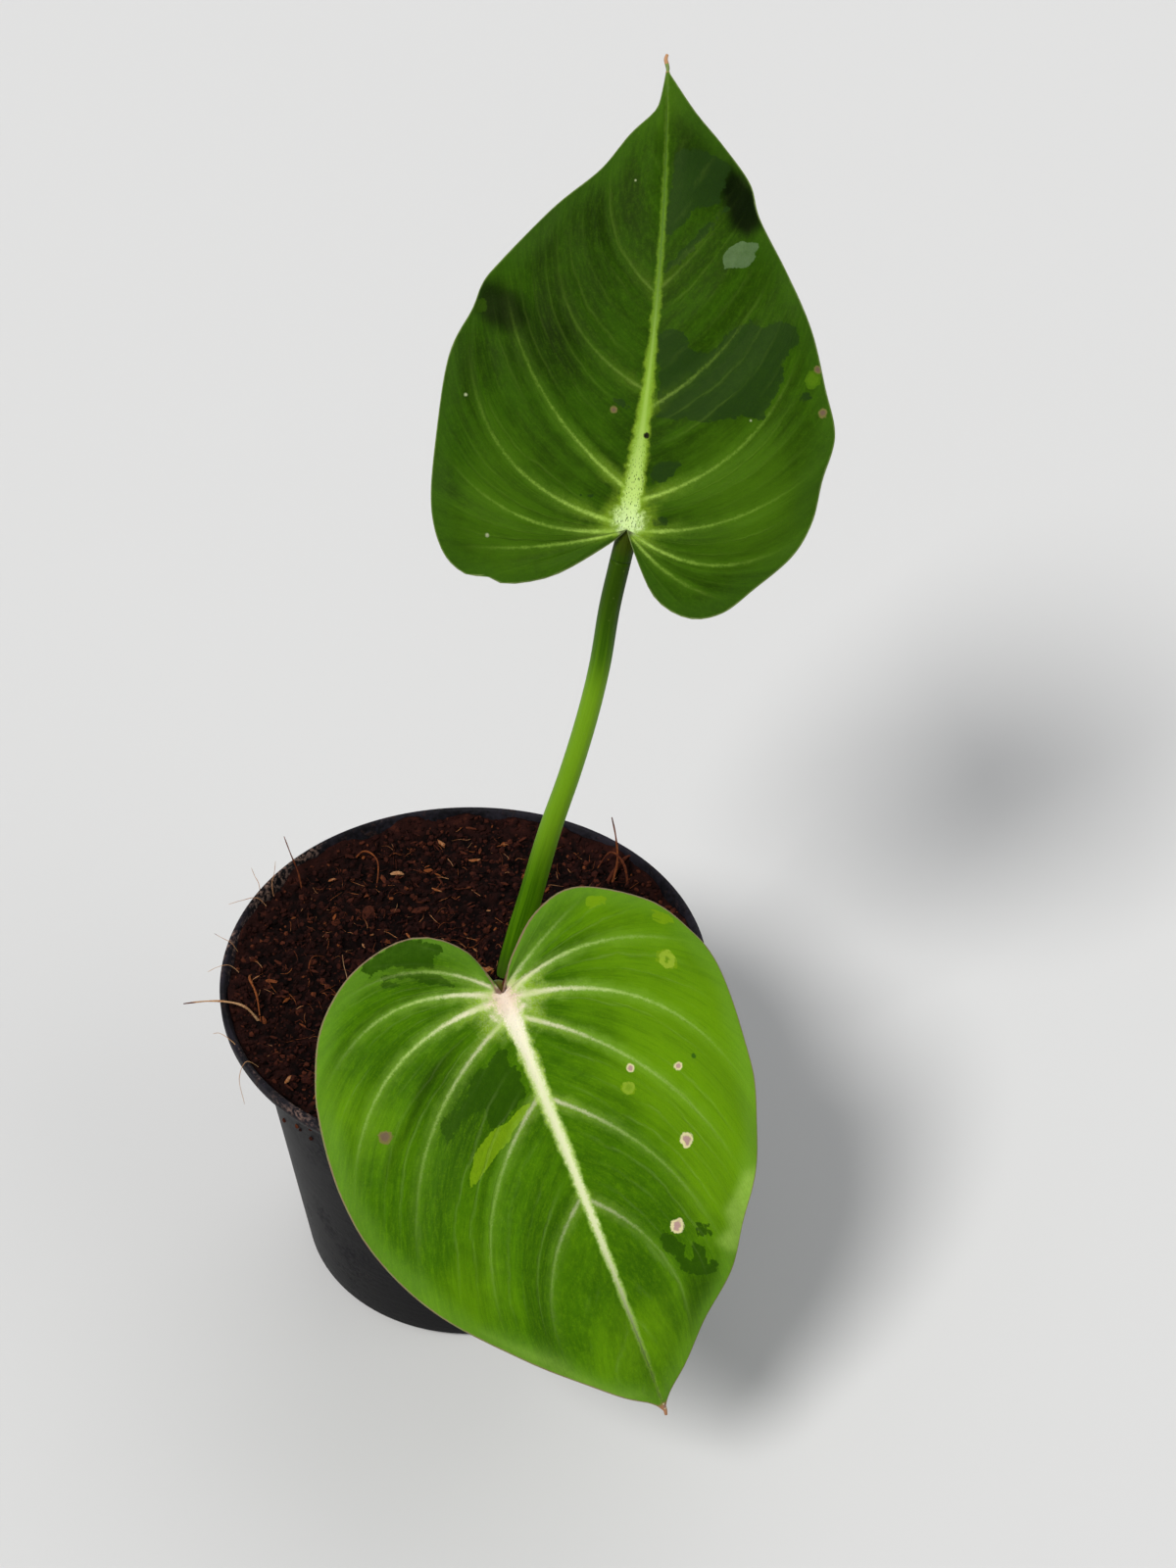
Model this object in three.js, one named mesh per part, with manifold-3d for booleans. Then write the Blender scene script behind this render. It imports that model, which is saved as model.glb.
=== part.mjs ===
// A young Philodendron gloriosum in a round nursery pot.
// Millimetres, +Z up. The origin is the centre of the pot's base, on the surface it stands on.
// The front leaf leans towards -Y and hangs over the rim; the other leaf stands up behind it.

import * as THREE from 'three';
import { mergeVertices } from 'three/addons/utils/BufferGeometryUtils.js';
import Module from 'manifold-3d';

const wasm = await Module();
wasm.setup();

// Driving dimensions

const gap = 0.3;               // between pieces that touch

const pot = {
  height: 90,
  rimRadius: 60,
  neckRadius: 52.5,            // outside of the wall, just under the flare
  neckHeight: 80,
  baseRadius: 43.5,
  wall: 1.1,
  discRadius: 15,              // the flat disc in the middle of the base
  footInner: 35,               // the foot ring that the pot stands on
  footOuter: 41.5,
  channelHeight: 2.5,          // the raised ring between disc and foot
  holes: 8,
  holeRadius: 4.5,
  segments: 48,
};

const mix = {
  level: 86.6,                 // the surface in the middle
  edgeDrop: 0.6,
  relief: 1.1,
  rings: 9,
  edge: 56.4,                  // radius of the surface
  chips: 34,
  chipReach: 50.5,
  chipSize: [1.8, 3.4],
  fibres: 6,
  fibreRadius: 0.4,
  seed: 11,
};

const rhizome = {
  axis: [[11.5, 15, 70], [10.8, 3, 76.5], [9.2, -8, 82.5], [7.6, -20, 86], [6.2, -29, 88.5]],
  radius: 5,
  tip: [[6.6, -26, 88], [5.9, -33, 90.5], [5.2, -38, 96], [5, -40, 103]],
  tipRadius: 3.3,
};

const roots = [
  { from: [10.5, 5, 74], through: [[20, 8, 66], [30, 12, 50]], to: [35, 16, 26] },
  { from: [10.5, 2, 73], through: [[2, 8, 62], [-8, 16, 46]], to: [-14, 24, 22] },
  { from: [9.3, -8, 79], through: [[20, -13, 72], [31, -20, 58]], to: [36, -26, 34] },
  { from: [9, -11, 80], through: [[-2, -14, 72], [-15, -18, 58]], to: [-23, -20, 36] },
  { from: [7.5, -20, 83], through: [[5, -28, 76], [3, -38, 62]], to: [0, -43, 42] },
  { from: [11.5, 14, 68], through: [[10, 20, 58], [13, 27, 44]], to: [11, 34, 20] },
];
const rootRadius = [1.3, 0.7];

// A stalk runs from the rhizome, through the mix, to the back of its blade's midrib.
// Its points are [x, y, z]; its radii are evenly spaced from the rhizome to the blade.

const stalks = {
  upper: {
    points: [[10.6, 2, 78], [10.8, 2.6, 84], [13.6, 3.2, 99], [16.4, 3.5, 111], [21.2, 4, 132.3],
      [26.3, 4.6, 151], [30.4, 5.4, 168], [33.2, 6.4, 182.4], [35.4, 7.6, 198.5]],
    radius: [3.4, 2.9, 2.6, 2.45, 2.4],
    seatHeight: 85.2,
  },
  front: {
    points: [[8.2, -13, 82.5], [7.6, -16, 89], [7.4, -22, 101], [8.4, -30, 112.5]],
    radius: [3.4, 2.8, 2.4],
    seatHeight: 93.6,
  },
};
const stubLength = 7;          // of the stalk's own length that belongs to the blade

// A blade lies about a plane through base and tip, which it faces along `facing`.
// In that plane u runs from base to tip along the midrib and v across it.
// Outlines are [u, v] from the notch at the base round the lobe to the tip.
// A vein is [u of its root, u and v of its end, how far it bows to the base per length].

const blade = {
  thickness: 0.8,
  rows: 7,                     // of points across each half, outside the midrib
  columns: [0, 0.1, 0.37, 0.63, 0.9],
  lobeColumns: [0, 0.1, 0.22, 0.35, 0.48, 0.62, 0.76, 0.9],
  stations: 16,                // along the midrib
  firstRow: 2,                 // from the midrib to the first row of points
  furrow: 0.35,                // how deep the midrib lies in the upper face
  midrib: [2.3, 0.5],          // how far it stands out below, at base and tip
  rib: 0.8,
  quilt: 1.3,                  // how far the blade swells between the veins
  wave: 0.8,
};

const frontLeaf = {
  base: [11, -46, 129.5],
  tip: [48.3, -104, 51.3],
  facing: [0.282, -0.701, 0.655],
  arch: 9,
  droop: 5,
  sway: -1.5,                  // sideways bow of the midrib
  dents: [
    { u: 74, v: 21, reach: 9, depth: 1.2 },
    { u: -6, v: -24, reach: 8, depth: -1 },
  ],
  halves: [
    {
      side: -1,
      outline: [[0, 0], [-4, -0.7], [-11, -3], [-17.5, -10], [-19.5, -18.5], [-16.5, -30], [-8.5, -40],
        [2, -46.5], [12, -49.5], [28, -51.5], [42.5, -49.5], [59.5, -42], [77.5, -27.5], [94.5, -10.5],
        [100.5, -2.8], [104.3, 0]],
      veins: [[0, -11, -38, 0.17], [0, 8, -49, 0.2], [0, 34, -51, 0.175], [5, 64, -39, 0.21],
        [22, 76, -29, 0.15], [48, 88, -17, 0.17]],
    },
    {
      side: 1,
      outline: [[0, 0], [-7, 5.8], [-13.5, 15], [-15, 26.5], [-6, 41], [3.5, 47.5], [14, 50.5],
        [32, 48.5], [43.5, 46.5], [58.5, 40], [76.5, 27], [89, 14], [99, 3.5], [104.3, 0]],
      veins: [[0, -13.5, 29, 0.08], [0, 10, 49.5, 0.14], [1, 46, 45.5, 0.2], [5, 65, 36, 0.14],
        [24, 78, 26, 0.11], [49, 92, 11, 0.145]],
    },
  ],
};

const upperLeaf = {
  base: [39, 10, 218],
  tip: [48, 78, 295.7],
  facing: [-0.098, -0.743, 0.662],
  arch: 8,
  droop: 4,
  sway: -3,
  dents: [
    { u: 48, v: 33, reach: 9, depth: -3 },
    { u: 63, v: 27, reach: 9, depth: 1.4 },
    { u: 77, v: -18, reach: 6.5, depth: -2.6 },
    { u: -11, v: 36, reach: 6, depth: -2 },
    { u: -2, v: -38, reach: 9, depth: -2.4 },
  ],
  halves: [
    {
      side: 1,
      outline: [[0, 0], [-4, 4.3], [-11, 15], [-14, 27], [-12.5, 35], [-7.5, 41.3], [5.5, 44.2],
        [18, 44], [35, 42], [46, 38.3], [52.5, 35.8], [67, 22.4], [81.5, 9.4], [87.5, 5.2], [92.5, 1.6],
        [103.5, 0]],
      veins: [[0, -6, 42.5, 0.09], [0, 16, 44.2, 0.2], [1, 45, 38.6, 0.21], [7, 56, 32, 0.12],
        [30, 70, 19.5, 0.18], [51, 82, 9, 0.155]],
    },
    {
      side: -1,
      outline: [[0, 0], [-5.5, -2.3], [-14.5, -7.5], [-18.2, -15], [-16.5, -22.3], [-10.5, -29],
        [-2.7, -36.7], [5, -40.5], [13.8, -42], [23.7, -44], [34, -41], [46, -37], [58, -30.6],
        [69, -23.8], [77.5, -20.6], [85, -14.2], [95, -5.4], [103.5, 0]],
      veins: [[0, -14, -25.5, 0.1], [0, 3, -40, 0.19], [0, 20, -43.3, 0.12], [6, 48, -36, 0.16],
        [26, 62, -28.5, 0.1], [52, 78, -20.5, 0.05]],
    },
  ],
};

// Materials

function matt(name, color, roughness) {
  return new THREE.MeshStandardMaterial({ name, color, roughness, metalness: 0 });
}

const blackPlastic = matt('black plastic', 0x17181a, 0.42);
const coir = matt('coir mix', 0x3a1d12, 0.95);
const rhizomeSkin = matt('rhizome skin', 0x6b7a35, 0.6);
const stalkGreen = matt('stalk green', 0x4c8a1c, 0.45);
const brightGreen = matt('bright leaf green', 0x5a9a16, 0.5);
const deepGreen = matt('deep leaf green', 0x2f6a14, 0.5);

// Numbers and curves

function seededRandom(seed) {
  let state = seed;
  return () => {
    state = (state * 1664525 + 1013904223) % 4294967296;
    return state / 4294967296;
  };
}

function mix1(a, b, k) {
  return a + (b - a) * k;
}

// The value at k, from 0 to 1, of a list of evenly spaced stops.
function ramp(stops, k) {
  const place = THREE.MathUtils.clamp(k, 0, 1) * (stops.length - 1);
  const index = Math.min(Math.floor(place), stops.length - 2);
  return mix1(stops[index], stops[index + 1], place - index);
}

function curveThrough(points) {
  return new THREE.CatmullRomCurve3(points.map((p) => new THREE.Vector3(...p)), false, 'centripetal');
}

// Solids: three.js geometry to and from manifold-3d

function closedGeometry(positions, triangles) {
  const places = new Map();
  const kept = [];
  const index = positions.map((p) => {
    const key = [p.x, p.y, p.z].map((n) => Math.round(n * 1e4)).join();
    if (!places.has(key)) {
      places.set(key, kept.length);
      kept.push(p);
    }
    return places.get(key);
  });
  const faces = triangles
    .map((t) => t.map((i) => index[i]))
    .filter(([a, b, c]) => a !== b && b !== c && c !== a);
  const geometry = new THREE.BufferGeometry().setFromPoints(kept);
  geometry.setIndex(faces.flat());
  return geometry;
}

function solidOf(geometry) {
  const bare = geometry.clone();
  bare.deleteAttribute('normal');
  bare.deleteAttribute('uv');
  const welded = mergeVertices(bare, 1e-4);
  const index = welded.index.array;
  const triangles = [];
  for (let i = 0; i < index.length; i += 3) {
    const [a, b, c] = [index[i], index[i + 1], index[i + 2]];
    if (a !== b && b !== c && c !== a) triangles.push(a, b, c);
  }
  const vertProperties = Float32Array.from(welded.attributes.position.array);
  const triVerts = Uint32Array.from(triangles);
  return new wasm.Manifold(new wasm.Mesh({ numProp: 3, vertProperties, triVerts }));
}

function geometryOf(solid) {
  const mesh = solid.getMesh();
  const geometry = new THREE.BufferGeometry();
  geometry.setAttribute('position', new THREE.BufferAttribute(mesh.vertProperties, 3));
  geometry.setIndex(new THREE.BufferAttribute(mesh.triVerts, 1));
  return geometry;
}

function joined(solids) {
  return solids.reduce((whole, solid) => whole.add(solid));
}

// An outline of [radius, height] turned about the Z axis.
function turned(outline, segments) {
  const points = outline.map((p) => new THREE.Vector2(...p));
  return new THREE.LatheGeometry(points, segments).rotateX(Math.PI / 2);
}

// A round, tapering tube along part of a curve, with flat ends; grow enlarges it all round.
function sweep(curve, radiusAt, { from = 0, to = 1, sides = 12, steps = 12, grow = 0 } = {}) {
  const positions = [];
  const triangles = [];
  const normal = new THREE.Vector3();
  const side = new THREE.Vector3();
  for (let i = 0; i <= steps; i += 1) {
    const k = mix1(from, to, i / steps);
    const tangent = curve.getTangentAt(k);
    const centre = curve.getPointAt(k);
    if (i === 0) centre.addScaledVector(tangent, -grow);
    if (i === steps) centre.addScaledVector(tangent, grow);
    if (i === 0) normal.set(Math.abs(tangent.x) > 0.8 ? 0 : 1, Math.abs(tangent.x) > 0.8 ? 1 : 0, 0);
    normal.addScaledVector(tangent, -normal.dot(tangent)).normalize();
    side.crossVectors(tangent, normal);
    const radius = radiusAt(k) + grow;
    for (let j = 0; j < sides; j += 1) {
      const angle = 2 * Math.PI * j / sides;
      const point = centre.clone().addScaledVector(normal, radius * Math.cos(angle));
      positions.push(point.addScaledVector(side, radius * Math.sin(angle)));
      if (i === steps) continue;
      const a = i * sides + j;
      const b = i * sides + (j + 1) % sides;
      triangles.push([a, b, a + sides], [b, b + sides, a + sides]);
    }
  }
  const last = steps * sides;
  for (let j = 1; j < sides - 1; j += 1) {
    triangles.push([0, j + 1, j], [last, last + j, last + j + 1]);
  }
  return closedGeometry(positions, triangles);
}

// Pot

function outerWall(z) {
  return mix1(pot.baseRadius, pot.neckRadius, (z - 2) / (pot.neckHeight - 2));
}

function potGeometry() {
  const { wall, channelHeight, discRadius, footInner, footOuter, height, rimRadius } = pot;
  const slope = 1.5;                       // run of the channel's sloping sides
  const outline = [
    [0, 0], [discRadius, 0], [discRadius + slope, channelHeight],
    [footInner - slope, channelHeight], [footInner, 0], [footOuter, 0], [pot.baseRadius, 2],
    [pot.neckRadius, pot.neckHeight], [57, 83.5], [59.4, 85.3], [rimRadius, 87],
    [rimRadius, height - 0.6], [rimRadius - 0.6, height],
    [rimRadius - 1.7, height], [rimRadius - 2.3, height - 0.7], [rimRadius - 2.4, 87],
    [56, 84.8], [pot.neckRadius - wall, pot.neckHeight + 0.5],
    [outerWall(2.8) - wall, 2.8], [footOuter - 0.6, wall],
    [footInner + 0.7, wall], [footInner - slope + 0.6, channelHeight + wall],
    [discRadius + slope - 0.6, channelHeight + wall], [discRadius - 0.7, wall], [0, wall],
  ];
  const body = solidOf(turned(outline, pot.segments));
  const drill = new THREE.CylinderGeometry(pot.holeRadius, pot.holeRadius, 12, 12);
  drill.rotateX(Math.PI / 2);
  let whole = body;
  for (let i = 0; i < pot.holes; i += 1) {
    const angle = 2 * Math.PI * (i + 0.5) / pot.holes;
    const reach = (discRadius + footInner) / 2;
    const hole = drill.clone().translate(reach * Math.cos(angle), reach * Math.sin(angle), 0);
    whole = whole.subtract(solidOf(hole));
  }
  return geometryOf(whole);
}

// Blades

function bladeFrame(leaf) {
  const base = new THREE.Vector3(...leaf.base);
  const along = new THREE.Vector3(...leaf.tip).sub(base);
  const length = along.length();
  along.normalize();
  const up = new THREE.Vector3(...leaf.facing);
  up.addScaledVector(along, -up.dot(along)).normalize();
  const across = new THREE.Vector3().crossVectors(up, along);
  return { base, along, across, up, length };
}

// Height of the blade over its plane: arched along the midrib, drooping to the sides, dented.
function bladeHeight(leaf, length, u, v) {
  const k = u / length;
  const arch = u > 0 ? 4 * leaf.arch * k * (1 - k) : 4 * leaf.arch * k / (1 - u / 20);
  const droop = leaf.droop * (v / 50) ** 2;
  const dents = leaf.dents.map((d) => d.depth * Math.exp(-((u - d.u) ** 2 + (v - d.v) ** 2) / d.reach ** 2));
  return dents.reduce((sum, dent) => sum + dent, arch - droop);
}

function pointOnBlade(leaf, frame, u, v, lift) {
  return frame.base.clone()
    .addScaledVector(frame.along, u)
    .addScaledVector(frame.across, v)
    .addScaledVector(frame.up, bladeHeight(leaf, frame.length, u, v) + lift);
}

function shareNearest(curve, u, v) {
  const aim = new THREE.Vector2(u, v);
  const samples = 400;
  let best = 0;
  let bestDistance = Infinity;
  for (let i = 0; i <= samples; i += 1) {
    const distance = curve.getPointAt(i / samples).distanceTo(aim);
    if (distance < bestDistance) {
      bestDistance = distance;
      best = i / samples;
    }
  }
  return best;
}

// A half blade's own coordinates: q counts the veins from the notch to the tip, and t runs
// along a vein from the midrib to the margin. The answer is [u, v].
function halfMap(leaf, half, length) {
  const margin = new THREE.SplineCurve(half.outline.map((p) => new THREE.Vector2(...p)));
  const shares = [0, ...half.veins.map((vein) => shareNearest(margin, vein[1], vein[2])), 1];
  const rootsAlong = [0, ...half.veins.map((vein) => vein[0]), length];
  const bows = [0, ...half.veins.map((vein) => vein[3]), 0];
  const last = shares.length - 1;
  const at = (q, t) => {
    const k = q / last;
    const u0 = ramp(rootsAlong, k);
    const v0 = swayAt(leaf, length, u0);
    const end = margin.getPointAt(ramp(shares, k));
    const du = end.x - u0;
    const dv = end.y - v0;
    const bow = 2 * ramp(bows, k) * Math.min(1, q);
    const cu = u0 + du / 2 - half.side * bow * dv;
    const cv = v0 + dv / 2 + half.side * bow * du;
    const [a, b, c] = [(1 - t) ** 2, 2 * t * (1 - t), t ** 2];
    return [a * u0 + b * cu + c * end.x, a * v0 + b * cv + c * end.y, Math.hypot(du, dv)];
  };
  return { at, last };
}

function swayAt(leaf, length, u) {
  return 4 * leaf.sway * (u / length) * (1 - u / length);
}

// One half of the blade: a strip along the midrib, then rows of points out to the margin.
// Every point is added on the upper face and, just after it, on the lower one.
function halfBlade(leaf, half, frame) {
  const { at, last } = halfMap(leaf, half, frame.length);
  const positions = [];
  const triangles = [];
  const addPoint = (u, v, lift, sunk, ridge) => {
    positions.push(pointOnBlade(leaf, frame, u, v, lift + blade.thickness / 2 - sunk));
    positions.push(pointOnBlade(leaf, frame, u, v, lift - blade.thickness / 2 - ridge));
    return positions.length - 2;
  };
  const addTriangle = (a, b, c) => triangles.push(half.side > 0 ? [a, b, c] : [a, c, b]);
  const addFaces = (a, b, c) => {
    addTriangle(a, b, c);
    addTriangle(a + 1, c + 1, b + 1);
  };

  const spineAlong = (i) => frame.length * i / blade.stations;
  const spine = Array.from({ length: blade.stations + 1 }, (_, i) => {
    const u = spineAlong(i);
    return addPoint(u, swayAt(leaf, frame.length, u), 0, blade.furrow, ramp(blade.midrib, u / frame.length));
  });

  const columns = [];
  for (let i = 0; i < last; i += 1) {
    const cuts = i === 0 ? blade.lobeColumns : blade.columns;
    columns.push(...cuts.map((cut) => i + cut));
  }
  columns.push(last);
  const grid = columns.map((q) => {
    if (q === 0) return Array(blade.rows).fill(spine[0]);
    if (q === last) return Array(blade.rows).fill(spine[blade.stations]);
    const first = Math.min(0.15, blade.firstRow / at(q, 1)[2]);
    return Array.from({ length: blade.rows }, (_, j) => {
      const t = mix1(first, 1, j / (blade.rows - 1));
      const [u, v] = at(q, t);
      const swell = blade.quilt * Math.sin(Math.PI * (q % 1)) ** 2 * Math.sin(Math.PI * t) ** 0.7;
      const wave = blade.wave * t ** 3 * Math.sin(q * 5.1 + half.side);
      const rib = Number.isInteger(q) ? blade.rib * (1 - t) + 0.1 : 0;
      return addPoint(u, v, swell + wave, 0, rib);
    });
  });

  let i = 0;
  let j = 0;
  while (i < blade.stations || j < columns.length - 1) {
    const onSpine = j === columns.length - 1
      || (i < blade.stations && spineAlong(i + 1) < at(columns[j + 1], 0)[0]);
    if (onSpine) {
      addFaces(spine[i], spine[i + 1], grid[j][0]);
      i += 1;
    } else {
      addFaces(spine[i], grid[j + 1][0], grid[j][0]);
      j += 1;
    }
  }
  for (let c = 0; c < columns.length - 1; c += 1) {
    for (let r = 0; r < blade.rows - 1; r += 1) {
      addFaces(grid[c][r], grid[c + 1][r], grid[c + 1][r + 1]);
      addFaces(grid[c][r], grid[c + 1][r + 1], grid[c][r + 1]);
    }
    const [edge, next] = [grid[c].at(-1), grid[c + 1].at(-1)];
    addTriangle(edge, next, next + 1);
    addTriangle(edge, next + 1, edge + 1);
  }
  return { positions, triangles };
}

function bladeGeometry(leaf, frame) {
  const [one, two] = leaf.halves.map((half) => halfBlade(leaf, half, frame));
  const shifted = two.triangles.map((t) => t.map((i) => i + one.positions.length));
  return closedGeometry([...one.positions, ...two.positions], [...one.triangles, ...shifted]);
}

// Stalks

// The stalk's whole curve: up from the rhizome, then bent into the midrib under the blade.
function stalkCurve(stalk, leaf, frame) {
  const under = (u, depth) => pointOnBlade(leaf, frame, u, 0, -depth).toArray();
  const arrival = new THREE.Vector3(...stalk.points.at(-1));
  const throat = new THREE.Vector3(...under(0, 2.2));
  const near = arrival.clone().lerp(throat, 0.62).toArray();
  const points = [...stalk.points, near, throat.toArray(), under(6, 2), under(14, 1.2), under(24, 0.7)];
  return curveThrough(points);
}

// The place along a curve, from 0 to 1, nearest to a point.
function placeNearest(curve, point) {
  let best = 0;
  for (let i = 0; i <= 500; i += 1) {
    const here = curve.getPointAt(i / 500).distanceTo(point);
    if (here < curve.getPointAt(best).distanceTo(point)) best = i / 500;
  }
  return best;
}

function placeAtHeight(curve, z) {
  let k = 0;
  while (curve.getPointAt(k).z < z) k += 0.001;
  return k;
}

function stalkParts(stalk, leaf) {
  const frame = bladeFrame(leaf);
  const curve = stalkCurve(stalk, leaf, frame);
  const length = curve.getLength();
  const seat = placeAtHeight(curve, stalk.seatHeight);
  const throat = placeNearest(curve, pointOnBlade(leaf, frame, 0, 0, -2.2));
  const end = throat - stubLength / length;
  const radiusAt = (k) => {
    if (k <= end) return ramp(stalk.radius, k / end);
    return mix1(stalk.radius.at(-1), 0.5, Math.max(0, (k - throat) / (1 - throat)) ** 0.8);
  };
  return { frame, curve, length, seat, end, radiusAt };
}

function petioleGeometry(parts, steps) {
  const from = parts.seat + gap / parts.length;
  return sweep(parts.curve, parts.radiusAt, { from, to: parts.end, steps });
}

function leafGeometry(leaf, parts) {
  const from = parts.end + gap / parts.length;
  const stub = sweep(parts.curve, parts.radiusAt, { from, to: 1, steps: 9, sides: 10 });
  return geometryOf(solidOf(bladeGeometry(leaf, parts.frame)).add(solidOf(stub)));
}

// Rhizome

const upperStalk = stalkParts(stalks.upper, upperLeaf);
const frontStalk = stalkParts(stalks.front, frontLeaf);

// The rhizome, its growing tip, its roots and the seats of both stalks.
// With grow it is the hollow that all of them fill in the mix.
function rhizomeSolid(grow) {
  const stem = curveThrough(rhizome.axis);
  const ringed = (k) => rhizome.radius * (0.55 + 0.45 * Math.sin(Math.PI * Math.min(0.5, k * 2.5 + 0.05)))
    * (1 + 0.05 * Math.cos(k * 38)) * (1 - 0.28 * k ** 6);
  const solids = [sweep(stem, ringed, { sides: 10, steps: 13, grow })];
  const tipAt = (k) => rhizome.tipRadius * (1 - k ** 2 * 0.88);
  solids.push(sweep(curveThrough(rhizome.tip), tipAt, { sides: 8, steps: 6, grow }));
  for (const root of roots) {
    const curve = curveThrough([root.from, ...root.through, root.to]);
    solids.push(sweep(curve, (k) => ramp(rootRadius, k), { sides: 5, steps: 5, grow }));
  }
  for (const parts of [upperStalk, frontStalk]) {
    const boss = (k) => parts.radiusAt(k) * 1.04;
    solids.push(sweep(parts.curve, boss, { to: parts.seat, sides: 10, steps: 3, grow }));
  }
  return joined(solids.map(solidOf));
}

// Potting mix

function reliefAt(x, y) {
  const broad = Math.sin(0.11 * x + 0.7) * Math.cos(0.13 * y - 0.4);
  const lumps = Math.sin(0.43 * x + 1.1 * Math.sin(0.21 * y)) * Math.sin(0.39 * y + 0.9 * Math.sin(0.17 * x));
  return mix.relief * (0.7 * broad + 0.6 * lumps);
}

function surfaceHeight(x, y) {
  const edge = Math.min(1, Math.hypot(x, y) / mix.edge) ** 4;
  return mix.level - mix.edgeDrop * edge + reliefAt(x, y) * (1 - 0.75 * edge);
}

// The mix fills the pot's inside, 'gap' away from it, up to its own uneven surface.
function fillingSolid() {
  const { wall, channelHeight, discRadius, footInner, footOuter } = pot;
  const floor = wall + gap;
  const shoulder = [[pot.neckRadius - wall - gap, 80.6], [55.6, 85], [mix.edge, 85.7]];
  const outline = [
    [0, floor], [discRadius - 0.9, floor], [discRadius + 0.7, channelHeight + floor],
    [footInner - 0.7, channelHeight + floor], [footInner + 0.9, floor], [footOuter - 0.8, floor],
    [outerWall(3) - wall - gap, 3.1], ...shoulder,
  ];
  for (let i = mix.rings; i >= 0; i -= 1) outline.push([mix.edge * i / mix.rings, mix.level]);
  const geometry = turned(outline, pot.segments);
  const place = geometry.attributes.position;
  for (let i = 0; i < place.count; i += 1) {
    if (place.getZ(i) > mix.level - 0.01) place.setZ(i, surfaceHeight(place.getX(i), place.getY(i)));
  }
  return solidOf(geometry);
}

function distanceToPlant(x, y) {
  const plant = [rhizome.axis, rhizome.tip].flat();
  return Math.min(...plant.map((p) => Math.hypot(p[0] - x, p[1] - y)));
}

function chipSolids(random) {
  const solids = [];
  while (solids.length < mix.chips) {
    const reach = mix.chipReach * Math.sqrt(random());
    const angle = 2 * Math.PI * random();
    const [x, y] = [reach * Math.cos(angle), reach * Math.sin(angle)];
    const size = mix1(...mix.chipSize, random() ** 2);
    const turn = [random() * 6, random() * 6, random() * 6];
    if (distanceToPlant(x, y) < 11) continue;
    const chip = new THREE.OctahedronGeometry(size);
    chip.scale(1, 0.72, 0.5).rotateX(turn[0] * 0.12).rotateY(turn[1] * 0.12).rotateZ(turn[2]);
    chip.translate(x, y, surfaceHeight(x, y) + 0.1 * size);
    solids.push(solidOf(chip));
  }
  return solids;
}

// Loose strands of coir: each leaves the mix, arches over it and goes back in or ends in the air.
const strands = [
  [[-49, -13.5, 84.5], [-53, -13, 90.5], [-57.5, -12.8, 92], [-62.5, -12.5, 91.8], [-67.5, -14, 92.5]],
  [[-42, 31, 84.5], [-43.3, 34, 91], [-45, 36.5, 94.5], [-46.8, 40, 97.5]],
  [[36, 33, 84.5], [38, 38, 90.5], [37.6, 42.5, 95], [36.6, 45, 99.5]],
  [[41, 32, 84.5], [39.5, 37, 91], [36.5, 40, 92], [32, 40, 84.5]],
  [[-53, 3.5, 84.5], [-52.8, -1.6, 88.5], [-50.5, -8, 89], [-49, -15.5, 84.5]],
  [[-31, 43, 84.5], [-27, 43, 89.5], [-23.4, 39, 90], [-23.8, 29, 84.5]],
];

function strandSolids(random) {
  const routes = [...strands];
  while (routes.length < strands.length + mix.fibres) {
    const reach = 46 * Math.sqrt(random());
    const angle = 2 * Math.PI * random();
    const heading = 2 * Math.PI * random();
    const half = 4 + 4 * random();
    const lift = 1.4 + 2 * random();
    const [x, y] = [reach * Math.cos(angle), reach * Math.sin(angle)];
    if (distanceToPlant(x, y) < 19) continue;
    const [dx, dy] = [half * Math.cos(heading), half * Math.sin(heading)];
    const ends = [[x - dx, y - dy], [x + dx, y + dy]].map(([a, b]) => [a, b, surfaceHeight(a, b) - 1.6]);
    const top = [x - 0.3 * dy, y + 0.3 * dx, surfaceHeight(x, y) + lift];
    routes.push([ends[0], top, ends[1]]);
  }
  return routes.map((route) => {
    const steps = 2 * route.length;
    return solidOf(sweep(curveThrough(route), () => mix.fibreRadius, { sides: 4, steps }));
  });
}

function mixGeometry() {
  const random = seededRandom(mix.seed);
  const whole = joined([fillingSolid(), ...chipSolids(random), ...strandSolids(random)]);
  const hollows = [rhizomeSolid(gap)];
  for (const parts of [upperStalk, frontStalk]) {
    const from = parts.seat - 2 / parts.length;
    const to = parts.seat + 18 / parts.length;
    hollows.push(solidOf(sweep(parts.curve, parts.radiusAt, { from, to, steps: 5, grow: gap + 0.1 })));
  }
  const bodies = hollows.reduce((left, hollow) => left.subtract(hollow), whole).decompose();
  bodies.sort((a, b) => b.volume() - a.volume());
  return geometryOf(bodies[0]);
}

// The plant in its pot

const plant = new THREE.Group();

function addPiece(name, geometry, material) {
  const piece = new THREE.Mesh(geometry, material);
  piece.name = name;
  plant.add(piece);
}

addPiece('pot', potGeometry(), blackPlastic);
addPiece('potting_mix', mixGeometry(), coir);
addPiece('rhizome', geometryOf(rhizomeSolid(0)), rhizomeSkin);
addPiece('petiole_upper', petioleGeometry(upperStalk, 20), stalkGreen);
addPiece('petiole_front', petioleGeometry(frontStalk, 10), stalkGreen);
addPiece('leaf_upper', leafGeometry(upperLeaf, upperStalk), deepGreen);
addPiece('leaf_front', leafGeometry(frontLeaf, frontStalk), brightGreen);

export default plant;
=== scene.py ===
import bisect
import math
import random
import bmesh
import bpy
from mathutils import Matrix, Vector, noise
from mathutils.kdtree import KDTree


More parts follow.
